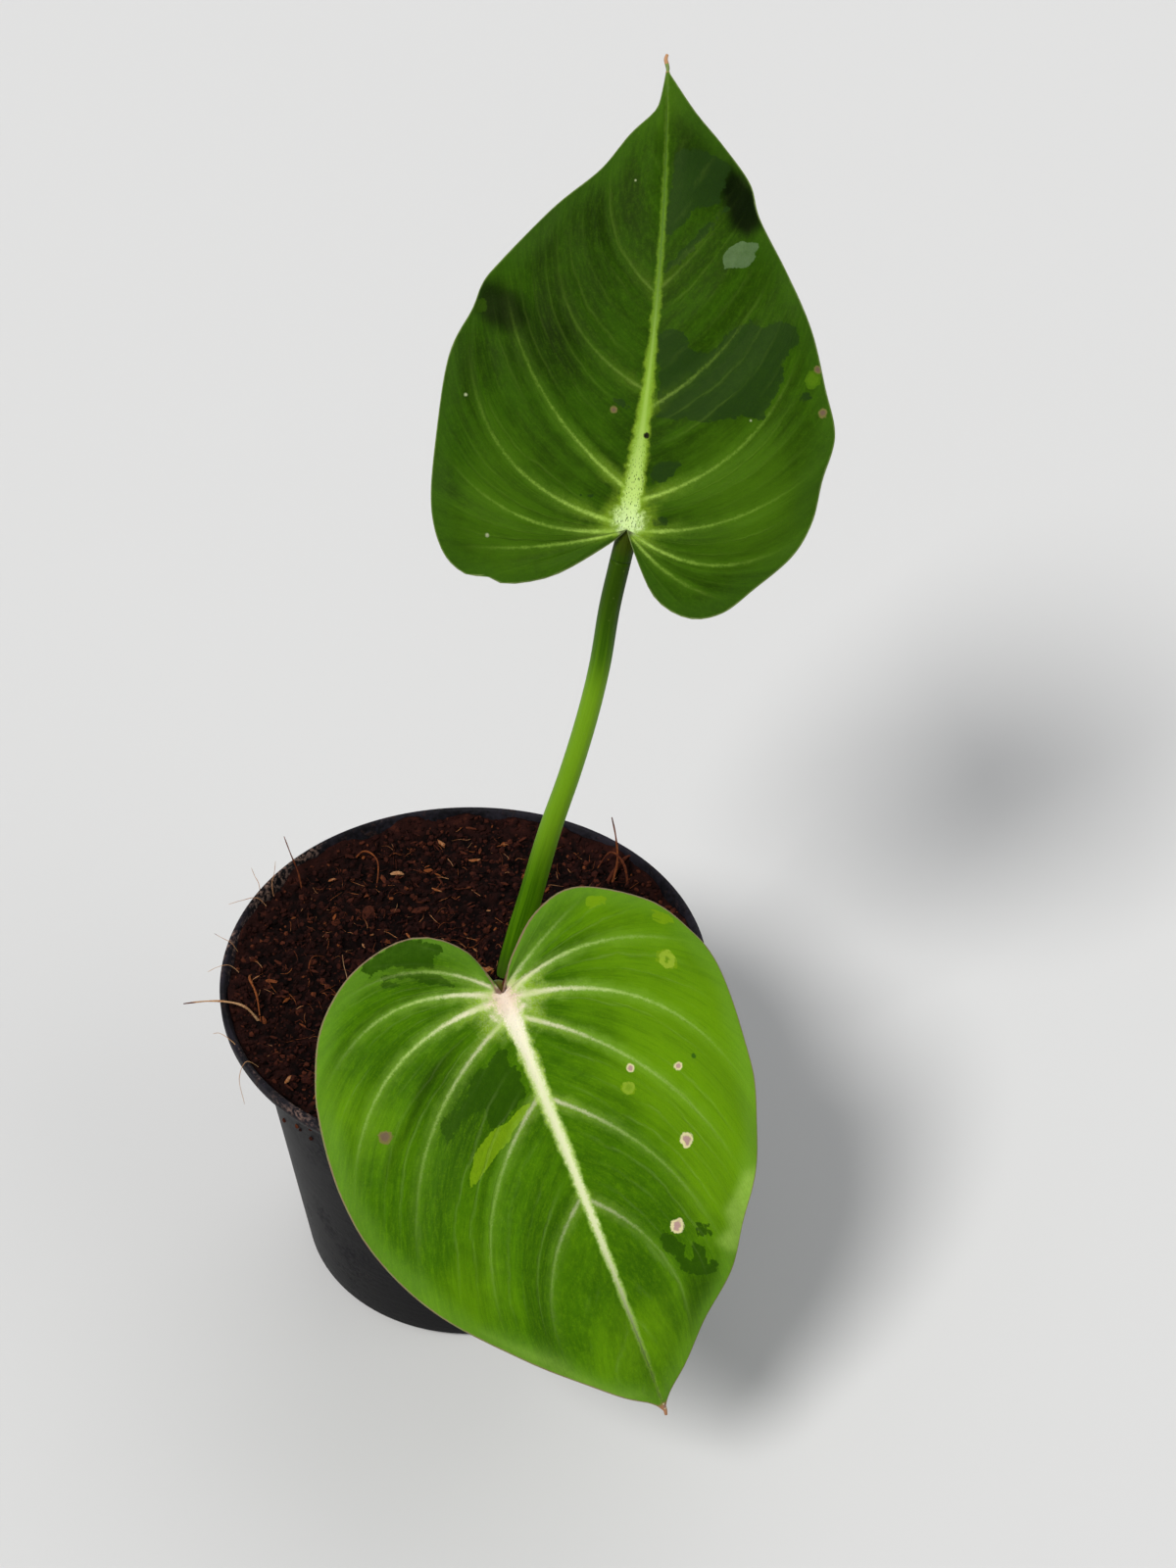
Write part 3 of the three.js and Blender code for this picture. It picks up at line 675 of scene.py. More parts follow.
def alongSpoke(spoke, t):
    start, bend, end = spoke
    return start * (1 - t) ** 2 + bend * 2 * t * (1 - t) + end * t ** 2


def columnsOf(roots, allRoots):
    # the q of every column of points: those of the lobe, then one for each place on the midrib
    # that a column of either half starts from, so that both halves meet point to point
    per = blade["columnsPerVein"]
    crowd = blade["columnsCrowd"]
    cuts = [i / per - crowd * math.sin(2 * math.pi * i / per) for i in range(per)]
    lobe = max(i for i, root in enumerate(roots) if root == 0)
    columns = [i + cut for i in range(lobe) for cut in cuts] + [lobe]
    starts = []
    for ends in allRoots:
        for i in range(len(ends) - 1):
            starts += [ends[i] + (ends[i + 1] - ends[i]) * cut for cut in cuts if ends[i + 1] > 0]
    kept = 0
    for u in sorted(starts + [roots[-1]]):
        if u - kept > blade["leastColumn"]:
            i = max(i for i, root in enumerate(roots[:-1]) if root < u)
            columns.append(i + (u - roots[i]) / (roots[i + 1] - roots[i]))
            kept = u
    return columns


def rowsOf():
    count = blade["rows"]
    rows = [blade["rowsEnd"] * (i / count) ** blade["rowsCrowd"] for i in range(count + 1)]
    return rows + blade["lastRows"]


def treeOf(points):
    tree = KDTree(len(points))
    for index, point in enumerate(points):
        tree.insert(point.to_3d(), index)
    tree.balance()
    return tree


def inside(outline, u, v):
    # how far a point lies inside an outline, less than 0 outside it
    crossings = 0
    nearest = 9
    for (au, av), (bu, bv) in zip(outline, outline[1:] + outline[:1]):
        du, dv = bu - au, bv - av
        k = clamp(((u - au) * du + (v - av) * dv) / (du * du + dv * dv))
        nearest = min(nearest, math.hypot(u - au - k * du, v - av - k * dv))
        if (av > v) != (bv > v) and u < au + du * (v - av) / dv:
            crossings += 1
    return nearest if crossings % 2 else -nearest


def boxOf(outline):
    across, along = zip(*outline)
    return min(across), max(across), min(along), max(along)


def isNear(box, u, v):
    lowU, highU, lowV, highV = box
    reach = blade["patchReach"]
    return lowU - reach < u < highU + reach and lowV - reach < v < highV + reach


def deepest(patches, u, v):
    depths = [inside(outline, u, v) for outline, box in patches if isNear(box, u, v)]
    return max([-blade["patchReach"], *depths])


# the paler bloom, or below 0 the painted shade, at a point of the blade
def softness(patches, u, v):
    total = 0
    for force, outline, box in patches:
        if isNear(box, u, v):
            k = clamp(inside(outline, u, v) / blade["softEdge"] + 0.5)
            total += force * k * k * (3 - 2 * k)
    return total


# the painted light at a point of the blade, or below 0 its painted shade
def sunAt(leaf, u, v):
    return sum(share * math.exp(-((u - sunU) ** 2 + (v - sunV) ** 2) / spread ** 2)
               for sunU, sunV, spread, share in leaf["sunny"])


def bladeLevel(side, q, t):
    # the blade swells between its veins and waves towards its margin
    swell = blade["quilt"] * math.sin(math.pi * q) ** 2
    ripple = blade["ripple"] * math.cos(2 * math.pi * blade["ripplesPerVein"] * q)
    level = (swell + ripple) * math.sin(math.pi * t) ** 0.85
    return level + blade["wave"] * t ** 3 * math.sin(blade["waveTurn"] * q + side)


def bladeLifts(level, k, t, off, vein, edge):
    # the top with its furrows and the underside with its ribs, both rounded off at the margin
    rounding = math.sqrt(1 - (1 - min(1, edge / blade["marginTaper"])) ** 2)
    half = blade["thickness"] / 2 * rounding
    clear = min(1, abs(off) / blade["clearOfMidrib"])
    furrow = blade["furrow"] * (1 - k) * math.exp(-(off / blade["furrowReach"]) ** 2)
    groove = blade["veinFurrow"] * (1 - t) ** 0.5 * math.exp(-(vein / blade["veinReach"]) ** 2)
    rib = (blade["ribBelow"] * (1 - t) + blade["ribEnd"]) * math.exp(-(vein / blade["ribReach"]) ** 2)
    keel = ramp(blade["midribBelow"], k) * math.exp(-(off / ramp(blade["midribReach"], k)) ** 2)
    return (level + half - (furrow + groove * clear) * rounding,
            level - half - max(rib * clear, keel) * rounding)


def makeBlade(leaf, plane, bm, layers):
    length = plane["length"]
    maps = [spokesOf(leaf, half, length) for half in leaf["halves"]]
    allRoots = [roots for spoke, roots, margin in maps]
    steps = blade["rimSamples"]
    rim = treeOf([margin.at(i / steps) for spoke, roots, margin in maps for i in range(steps + 1)])
    dark, light = ([(outline, boxOf(outline)) for outline in leaf[kind]]
                   for kind in ("darkPatches", "lightPatches"))
    soft = [(force, outline, boxOf(outline)) for force, outline in leaf["softPatches"]]
    rows = rowsOf()
    made = []
    for half, (spoke, roots, margin) in zip(leaf["halves"], maps):
        columns = columnsOf(roots, allRoots)
        steps = blade["veinSamples"]
        lines = [spoke(q) for q in range(1, len(half["veins"]) + 1)]
        veins = treeOf([alongSpoke(line, i / steps) for line in lines for i in range(steps + 1)])
        faces = [bmesh.ops.create_grid(bm, x_segments=len(columns) - 1, y_segments=len(rows) - 1,
                                       size=1)["verts"] for lower in (0, 1)]
        for i, q in enumerate(columns):
            line = spoke(q)
            for j, t in enumerate(rows):
                u, v = alongSpoke(line, t)
                edge = rim.find((u, v, 0))[2] if t < 1 else 0
                index, vein = veins.find((u, v, 0))[1:]
                off = v - swayAt(leaf, length, u)
                values = {
                    "bladePlace": Vector((u, v, edge)),
                    "bladeVein": Vector((q, t, vein)),
                    "bladeMark": Vector((deepest(dark, u, v), deepest(light, u, v), off)),
                    "bladeForce": half["force"][index // (steps + 1)],
                    "bladeSoft": softness(soft, u, v),
                    "bladeSun": sunAt(leaf, u, v),
                }
                level = bladeLevel(half["side"], q, t)
                lifts = bladeLifts(level, clamp(u / length), t, off, vein, edge)
                for lower, lift in enumerate(lifts):
                    vert = faces[lower][j * len(columns) + i]
                    vert.co = onBlade(leaf, plane, u, v, lift) * mm
                    vert[layers["bladeUnder"]] = lower
                    for name, value in values.items():
                        vert[layers[name]] = value
        made += faces[0] + faces[1]
    bmesh.ops.remove_doubles(bm, verts=made, dist=blade["weld"] * mm)


class LeafLook(Look):
    # its tone starts as a plain green, and each step lays more coats over it

    def __init__(self, name, leaf):
        super().__init__(name, leaf["look"])
        self.leaf = leaf
        self.tone = "deep"
        self.length = bladePlane(leaf)["length"]
        self.u, self.v, self.edge = self.parts(self.attribute("bladePlace"))
        q, self.reach, self.gap = self.parts(self.attribute("bladeVein"))
        self.darkIn, self.lightIn, self.off = self.parts(self.attribute("bladeMark"))
        numbers = [self.attribute(kind, "Fac") for kind in bladeNumbers]
        self.force, self.soft, self.sun, self.under = numbers
        self.q = q + self.off.fade(-0.01, 0.01) * 10  # so that the halves don't mirror each other
        self.inward = 1 - self.reach
        self.toTip = (1 - self.u / self.length).most(0)
        self.fromNotch = (self.u * self.u + self.off * self.off) ** 0.5
        spine = self.recipe["midribWidth"] * self.toTip ** self.recipe["midribTaper"] + 0.14
        self.spine = spine + self.u.fade(self.recipe["flareEnd"], -1) * self.recipe["midribFlare"]
        self.makeNoises()

    def makeNoises(self):
        place, q, reach = self.place(), self.q, self.reach
        self.bands = self.noise(self.vector(q * 5, reach * 0.9, 0), 1, 3, 0.6)
        self.thread = self.noise(self.vector(q * 30, reach * 6, 3), 1, 4, 0.65)
        self.fleck = self.noise(self.vector(q * 24, reach * 15, 8), 1, 4, 0.7)
        self.clouds = self.noise(place, 60, 3)
        self.blots = self.noise(place, 280, 3, 0.6)
        self.mottle = self.noise(place, 620, 4, 0.7)
        self.grain = self.noise(place, 2300, 2, 0.6)
        self.jag = self.mottle - 0.5
        self.fuzz = self.jag * 0.6 + (self.grain - 0.5) * 0.7
        self.crumbly = (self.grain * 0.6 + self.mottle * 0.4).fade(0.44, 0.56)
        self.feather = ((self.blots - 0.5) * 1.2 + self.jag * 1.2) * (0.35 + self.toTip * 0.65)

    def lay(self, mask, coat, kind="MIX"):
        self.tone = self.mix(mask, self.tone, coat, kind)

    def layGreens(self):
        broad = self.bands * 0.4 + self.clouds * 0.35 + self.mottle * 0.25
        # painted light and painted shade: the lit and shaded places, made uneven by the clouds and bands,
        # lay the fresh green or the shade green
        light = self.sun + (self.clouds - 0.5) * 0.9 + (self.bands - 0.5) * 0.6
        self.lay(broad.fade(0.4, 0.6), "green")
        self.lay(light.fade(0, 1) * 0.85, "fresh")
        self.lay((light * -1).fade(0, 1) * 0.85, "shade")
        self.lay((self.fleck * 0.7 + self.grain * 0.3).fade(0.44, 0.66) * 0.3, "fresh")
        self.lay(self.thread.fade(0.5, 0.35) * 0.22, "deep")
        self.lay((self.edge + (self.clouds - 0.5) * 8).fade(6, 0.5) * 0.4, "rimGreen")
        # soft patches above 0 lay a paler bloom, and those below 0 darken the blade as painted shade
        self.lay(self.soft.fade(0, 1.5) * (0.7 + self.jag), "bloom")
        self.lay((self.soft * -1).fade(0, 2) * 0.95, "deep", "MULTIPLY")

    def layPatches(self):
        ragged = (self.blots - 0.5) * 2.8 + self.jag * 2.8
        self.darkMask = (self.darkIn + ragged).fade(-0.12, 0.12) * (0.85 + self.jag * 0.6)
        self.lay(self.darkMask, "dark")
        self.lay((self.lightIn + ragged * 0.5).fade(-0.1, 0.1) * (0.85 + self.jag * 0.8), "light")

    def layMinorVeins(self):
        minor = self.q * blade["ripplesPerVein"] + (self.clouds - 0.5) * 1.2 + 0.5
        minor = abs(minor.fraction() - 0.5) + (self.fleck - 0.5) * 0.4
        minor = minor.fade(0.14, 0) * self.reach.fade(0.04, 0.25) * self.reach.fade(0.95, 0.6)
        self.minorMask = minor * self.bands.fade(0.42, 0.62)
        self.lay(self.minorMask * 0.09, "veinMid")

    def layVeins(self):
        gap, reach, inward, force, blots = self.gap, self.reach, self.inward, self.force, self.blots
        glow = (gap + (blots - 0.5) * 3 + self.jag * 1.5).fade(2.8, 0.1) * inward ** 1.3 * force * 0.8
        glow = glow * self.edge.fade(0.2, 2) * (1 - self.darkMask * 0.6)
        self.lay(glow, self.over(
            "veinHalo",
            (inward.fade(0.7, 1) * 0.8, "poolHalo"),
            (self.crumbly * inward.fade(0.5, 1) * 0.5, "veinMid"),
        ))
        width = self.recipe["veinWidth"] * (0.7 + (1.4 + 3.6 * force ** 4) * inward ** 8)
        core = (gap + self.fuzz * 1.5).fade(width + 0.5, width - 0.3)
        core = core * force * self.edge.fade(0, 1) * reach.fade(0.96, 0.12) * (0.5 + blots * 0.85)
        self.lay(core, self.mix(reach.fade(0.04, 0.4), "vein", "veinMid"))

    def layFringe(self):
        # the paler green along the midrib
        aside, spine, toTip = abs(self.off), self.spine, self.toTip
        fringe = (aside + self.feather * 1.8).fade(spine + 0.5 + toTip * 0.7, spine * 0.9) * 0.8
        self.lay(fringe * toTip.fade(0, 0.35) * self.u.fade(-3, -0.3), self.over(
            "poolHalo",
            (self.crumbly * 0.4, "midribMid"),
            (toTip.fade(0.9, 0.4) * 0.7, "veinHalo"),
        ))

    def layPoolRays(self):
        # the pale pool lies just below the notch and runs out into the veins
        u, off, size = self.u, self.off, self.recipe["pool"]
        toPool = ((u - 2.3) * (u - 2.3) + off * off * 0.7) ** 0.5
        toPool = toPool + (self.blots - 0.5) * 5 + self.jag * 3
        rays = toPool.fade(size * 2.3, size * 0.9) * (0.15 + self.thread * 0.8) * u.fade(-3, 0)
        self.lay(rays, self.mix(self.crumbly * 0.3, "poolHalo", "midribMid"))
        self.pool = toPool.fade(size + 0.8, size * 0.5)

    def layMidrib(self):
        aside, spine, toTip = abs(self.off), self.spine, self.toTip
        midrib = (aside + self.feather * 0.6 + self.fuzz * 1.1).fade(spine + 0.45, spine * 0.8 - 0.3)
        midrib = midrib * (self.u + self.jag).fade(-1.6, -0.2)
        self.spineMask = midrib.most(self.pool)
        self.lay(self.spineMask * 0.96, self.over(
            "midrib",
            (toTip.fade(1, 0.74), "midribMid"),
            (toTip.fade(*self.recipe["midribFades"]), "midribEnd"),
            (self.fromNotch.fade(8, 1.5) * 0.7, "blush"),
            ((aside / spine).fade(0.7, 0.1) * toTip.fade(0.3, 0.9) * 0.3, "midrib"),
            (self.crumbly * (aside / spine).fade(0.3, 1) * 0.5, "poolHalo"),
        ))

    def laySpecks(self):
        cells = {"Vector": self.vector(self.u * 0.8, self.off * 2.1, 0), "Scale": 1}
        dots = self.node("TexVoronoi", {"voronoi_dimensions": "2D"}, cells)
        dots = (dots + self.jag * 0.7).fade(0.21, 0.1) * self.u.fade(26, 8) * self.u.fade(-0.5, 1)
        self.lay(dots * self.spineMask * self.recipe["midribSpecks"], "deep")
        blush = (self.fromNotch + self.u * 3).fade(0.6, 0.1) * self.fromNotch.fade(2.4, 1)
        self.lay(blush * 0.85, "notch")

    def laySpots(self):
        flat = self.vector(self.u, self.v, 0)
        ragged = self.jag * 1.2 + (self.blots - 0.5) * 0.7
        for u, v, radius, kind in self.leaf["spots"]:
            away = self.node("VectorMath", {"operation": "DISTANCE"}, (flat, (u, v, 0)), "Value")
            away = away + ragged * radius
            share, halo, heart = spotKinds[kind]
            self.lay(away.fade(radius + 0.15, radius - 0.2), halo)
            self.lay(away.fade(radius * share + 0.1, radius * share - 0.35), heart)

    def layMargin(self):
        self.lay((self.edge + self.jag * 0.35).fade(0.4, 0.1) * 0.85, "margin")
        self.lay((self.u + self.jag * 2).fade(self.length - 3.2, self.length - 1.4), "tip")

    def underside(self):
        keel = abs(self.off).fade(self.spine * 0.8 + 0.6, self.spine * 0.6 - 0.1)
        return self.over(
            "under",
            (self.clouds.fade(0.35, 0.65) * 0.4, "veinHalo"),
            (self.mottle.fade(0.4, 0.65) * 0.3, "rimGreen"),
            (self.darkMask * 0.3, "dark"),
            (self.minorMask * 0.5, "underRib"),
            (self.gap.fade(1.1, 0.3) * (0.3 + 0.6 * self.inward), "underRib"),
            (keel * 0.85, "underRib"),
            (self.fromNotch.fade(6.5, 3) * self.recipe["notchBlush"], "notch"),
        )


def leafMaterial(name, leaf):
    look = LeafLook(name, leaf)
    look.layGreens()
    look.layPatches()
    look.layMinorVeins()
    look.layVeins()
    look.layFringe()
    look.layPoolRays()
    look.layMidrib()
    look.laySpecks()
    look.laySpots()
    look.layMargin()
    relief = (look.thread * 0.35 - look.minorMask * 0.5) * abs(look.off).fade(0.2, 1.2)
    relief = look.mottle * 0.5 + look.grain * 0.25 + relief
    return look.finish({
        "Base Color": look.mix(look.under, look.tone, look.underside()),
        "Roughness": 0.52 + look.jag * 0.25 + look.under * 0.08,
        "Normal": look.bump(relief, 0.00025),
        "Sheen Weight": 0.02,
        "Sheen Roughness": 0.4,
        "Sheen Tint": paint(150, 205, 60),
        "Subsurface Weight": 0.1,
        "Subsurface Radius": (0.6, 1.0, 0.25),
        "Subsurface Scale": 0.001,
        "Specular IOR Level": 0.07,
        "Specular Tint": paint(214, 235, 150),
    })


# stalks

stalks = {
    "upper": {
        "points": [(10.6, 2, 78), (10.8, 2.6, 84), (13.6, 3.2, 99), (16.4, 3.5, 111), (21.2, 4, 132.3),
                   (26.3, 4.6, 151), (30.4, 5.4, 168), (33.2, 6.4, 182.4), (35.4, 7.6, 198.5)],
        "radius": [3.4, 2.9, 2.6, 2.45, 2.4],
        "seatHeight": 85.2,
    },
    "front": {
        "points": [(8.2, -13, 82.5), (7.6, -16, 89), (7.4, -22, 101), (8.4, -30, 112.5)],
        "radius": [3.4, 2.8, 2.4],
        "seatHeight": 93.6,
    },
    "sides": 40,
    "steps": 120,
    "stepsUnderBlade": 60,
    # each stalk meets its blade this far below the notch and runs on under the midrib: u and depth
    "throatDepth": 2.2,
    "throatBend": 0.62,
    "underBlade": [(6, 2), (14, 1.2), (24, 0.7)],
    "stub": 7,
    "thinEnd": 0.5,
    "bladeCover": 0.45,
    "intoSeat": 1.5,
    # heights between which its bands of colour fade in: a painted highlight partway up, the painted shadow
    # of the leaf at the top, and the foot
    "brightFrom": (115, 140),
    "highlightUntil": (190, 172),
    "leafShadowFrom": (176, 206),
    "footBelow": (100, 86),
    "green": paint(70, 112, 4),
    "shade": paint(50, 90, 2),
    "stripe": paint(98, 136, 22),
    "bright": paint(110, 150, 24),
    "dusk": paint(30, 49, 1),
    "speck": paint(130, 150, 70),
    "foot": paint(50, 70, 18),
    "blush": paint(74, 30, 24),
}


def stalkParts(stalk, leaf):
    plane = bladePlane(leaf)
    arrival = Vector(stalk["points"][-1])
    throat = onBlade(leaf, plane, 0, 0, -stalks["throatDepth"])
    bend = arrival.lerp(throat, stalks["throatBend"])
    under = [onBlade(leaf, plane, u, 0, -depth) for u, depth in stalks["underBlade"]]
    line = springLine([*stalk["points"], bend, throat, *under])
    throatAt = line.nearest(throat)
    end = throatAt - stalks["stub"] / line.length
    seat = next(i / 1000 for i in range(1000) if line.at(i / 1000).z > stalk["seatHeight"])

    def radiusAt(k):
        if k <= end:
            return ramp(stalk["radius"], k / end)
        thin = max(0, (k - throatAt) / (1 - throatAt)) ** 0.8
        wanted = stalk["radius"][-1] * (1 - thin) + stalks["thinEnd"] * thin
        # it never shows through the top of the blade
        away = line.at(k) - plane["base"]
        u, v, height = (away.dot(plane[way]) for way in ("along", "across", "up"))
        depth = bladeHeight(leaf, plane["length"], u, v) - height
        return max(0.3, min(wanted, depth - stalks["bladeCover"]))
    return {"plane": plane, "line": line, "seat": seat, "end": end, "radiusAt": radiusAt}


def stalkMaterial():
    look = Look("stalk skin", stalks)
    place = look.place()
    across, side, along = look.parts(look.attribute("stalkPlace"))
    height = look.parts(place)[2]
    lines = look.noise(look.vector(across * 7, side * 7, along * 0.06), 1, 3, 0.5)
    broad = look.noise(look.vector(across * 2, side * 2, along * 0.02), 1, 2)
    speck = look.node("TexVoronoi", {}, {"Vector": place, "Scale": 420, "Randomness": 1})
    grain = look.noise(place, 2200, 2)
    # a painted highlight on the middle of the stalk, between two heights
    bright = height.fadeAt(stalks["brightFrom"]) * height.fadeAt(stalks["highlightUntil"])
    tone = look.over(
        "shade",
        (broad.fade(0.35, 0.65), "green"),
        (bright * 0.8, "bright"),
        (lines.fade(0.45, 0.7) * 0.25, "stripe"),
        # painted shadow of the leaf over the top of the stalk
        (height.fadeAt(stalks["leafShadowFrom"]) * 0.8, "dusk"),
        (speck.fade(0.12, 0.05) * 0.15, "speck"),
        (height.fadeAt(stalks["footBelow"]) * 0.7, "foot"),
        (look.attribute("notchBlush", "Fac") * 0.9, "blush"),
    )
    return look.finish({
        "Base Color": tone,
        "Roughness": 0.36 + lines * 0.16,
        "Normal": look.bump(lines * 0.7 + grain * 0.3, 0.00018),
        "Subsurface Weight": 0.1,
        "Subsurface Radius": (0.6, 1.0, 0.3),
        "Subsurface Scale": 0.0015,
        "Specular IOR Level": 0.1,
        "Specular Tint": paint(214, 235, 150),
    })


def makeStalks(skin):
    upper = stalkParts(stalks["upper"], upperLeaf)
    front = stalkParts(stalks["front"], frontLeaf)
    for name, parts in (("petiole_upper", upper), ("petiole_front", front)):
        bm = bmesh.new()
        layer = bm.verts.layers.float_vector.new("stalkPlace")
        start = parts["seat"] - stalks["intoSeat"] / parts["line"].length
        addTube(bm, parts["line"], parts["radiusAt"], start, parts["end"],
                sides=stalks["sides"], steps=stalks["steps"], layer=layer)
        bmesh.ops.recalc_face_normals(bm, faces=bm.faces)
        newPiece(name + "_stalk", bm, [skin], [name])
    print("stalks ready")
    return upper, front


def addDripTip(leaf, plane, bm, layers):
    before = len(bm.verts)
    curl = springLine([onBlade(leaf, plane, u, v, lift) for u, v, lift in leaf["curl"]])
    addTube(bm, curl, lambda k: 0.26 + 0.2 * math.sin(2.6 * k + 0.2), sides=12, steps=20)
    # it is as dry as the end of the blade, and no vein runs into it
    for vert in list(bm.verts)[before:]:
        vert[layers["bladePlace"]] = Vector((plane["length"], 0, 3))
        vert[layers["bladeVein"]] = Vector((6.5, 1, 3))


def makeLeaf(name, leaf, parts, skin):
    bm = bmesh.new()
    kinds = bm.verts.layers
    layers = {kind: kinds.float_vector.new(kind) for kind in [*bladeVectors, "stalkPlace"]}
    layers.update({kind: kinds.float.new(kind) for kind in [*bladeNumbers, "notchBlush"]})
    makeBlade(leaf, parts["plane"], bm, layers)
    addTube(bm, parts["line"], parts["radiusAt"], parts["end"], sides=stalks["sides"],
            steps=stalks["stepsUnderBlade"], slotIndex=1, layer=layers["stalkPlace"])
    addDripTip(leaf, parts["plane"], bm, layers)
    notch = Vector(leaf["base"]) * mm
    for vert in bm.verts:
        away = (vert.co - notch).length / (blade["blushReach"] * mm)
        vert[layers["notchBlush"]] = leaf["look"]["notchBlush"] * max(0, 1 - away) ** 0.5
    bmesh.ops.recalc_face_normals(bm, faces=bm.faces)
    newPiece(name + "_blade", bm, [leafMaterial(name + " skin", leaf), skin], [name])


# rhizome

rhizome = {
    "axis": [(11.5, 15, 70), (10.8, 3, 76.5), (9.2, -8, 82.5), (7.6, -20, 86), (6.2, -29, 88.5)],
    "radius": 5,
    "tip": [(6.6, -26, 88), (5.9, -33, 90.5), (5.2, -38, 96), (5, -40, 103)],
    "tipRadius": 3.3,
    "roots": [
        [(10.5, 5, 74), (20, 8, 66), (30, 12, 50), (35, 16, 26)],
        [(10.5, 2, 73), (2, 8, 62), (-8, 16, 46), (-14, 24, 22)],
        [(9.3, -8, 79), (20, -13, 72), (31, -20, 58), (36, -26, 34)],
        [(9, -11, 80), (-2, -14, 72), (-15, -18, 58), (-23, -20, 36)],
        [(7.5, -20, 83), (5, -28, 76), (3, -38, 62), (0, -43, 42)],
        [(11.5, 14, 68), (10, 20, 58), (13, 27, 44), (11, 34, 20)],
    ],
    "rootRadius": [1.3, 0.7],
    # heights between which the fresh tip and the pale roots begin
    "freshFrom": (89, 96),
    "rootsBelow": (80, 74),
    "bark": paint(74, 84, 38),
    "barkPale": paint(104, 110, 58),
    "scar": paint(86, 60, 36),
    "freshGreen": paint(126, 160, 66),
    "freshPink": paint(170, 132, 104),
    "rootSkin": paint(196, 176, 140),
}


def rhizomeMaterial():
    look = Look("rhizome skin", rhizome)
    place = look.place()
    across, side, along = look.parts(look.attribute("stalkPlace"))
    height = look.parts(place)[2]
    patch = look.noise(place, 240, 4, 0.6)
    rings = look.noise(look.vector(across * 0.6, side * 0.6, along * 1.1), 1, 3)
    tone = look.over(
        "bark",
        (patch.fade(0.4, 0.62), "barkPale"),
        (rings.fade(0.5, 0.66) * 0.7, "scar"),
        (height.fadeAt(rhizome["freshFrom"]), look.mix(rings.fade(0.4, 0.6), "freshGreen", "freshPink")),
        (height.fadeAt(rhizome["rootsBelow"]), "rootSkin"),
    )
    return look.finish({
        "Base Color": tone,
        "Roughness": 0.5 + patch * 0.2,
        "Normal": look.bump(patch * 0.6 + rings * 0.6, 0.0004),
    })


def makeRhizome(upper, front):
    bm = bmesh.new()
    layer = bm.verts.layers.float_vector.new("stalkPlace")

    def stem(k):
        nose = 0.55 + 0.45 * math.sin(math.pi * min(0.5, k * 2.5 + 0.05))
        return rhizome["radius"] * nose * (1 + 0.05 * math.cos(k * 38)) * (1 - 0.28 * k ** 6)
    addTube(bm, springLine(rhizome["axis"]), stem, sides=36, steps=90, layer=layer)
    addTube(bm, springLine(rhizome["tip"]), lambda k: rhizome["tipRadius"] * (1 - 0.94 * k ** 2),
            sides=32, steps=50, layer=layer)
    for stops in rhizome["roots"]:
        addTube(bm, springLine(stops), lambda k: ramp(rhizome["rootRadius"], k),
                sides=10, steps=24, layer=layer)
    for parts in (upper, front):
        # the collar that holds the foot of a stalk
        def collar(k, parts=parts):
            rise = k / parts["seat"]
            return parts["radiusAt"](k) * (1.04 + 0.1 * math.sin(math.pi * min(1, rise)))
        addTube(bm, parts["line"], collar, end=parts["seat"], sides=36, steps=20, layer=layer)
    bmesh.ops.recalc_face_normals(bm, faces=bm.faces)
    newPiece("rhizome_stem", bm, [rhizomeMaterial()], ["rhizome"])
    print("rhizome ready")


# pot

pot = {
    "height": 90,
    "rimRadius": 60,
    "neckRadius": 52.5,
    "neckHeight": 80,
    "baseRadius": 43.5,
    "wall": 1.1,
    "discRadius": 15,
    "footInner": 35,
    "footOuter": 41.5,
    "channel": 2.5,
    "channelSlope": 1.5,
    "holes": 8,
    "holeRadius": 4.5,
    "holeReach": 25,
    "drillDepth": 12,
    "turnSteps": 180,
    "wallCuts": 14,
    "rounding": 0.35,
    # how far the thin rim is out of round, as shares of its radius, and out of level
    "outOfRound": (0.003, 0.0016),
    "outOfLevel": 0.25,
    # heights between which the dust, greyer on the lip as partly painted sheen, the splashes and the lime
    # of the rim begin
    "dustAndSheenFrom": (84, 88.5),
    "soilFrom": (50, 90),
    "limeFrom": (86.5, 88.8),
    "black": paint(7, 6, 8),
    "dust": paint(50, 46, 56),
    "soil": paint(58, 38, 30),
    "lime": paint(132, 106, 94),
}


def wallAt(z):
    return pot["baseRadius"] + (pot["neckRadius"] - pot["baseRadius"]) * (z - 2) / (pot["neckHeight"] - 2)


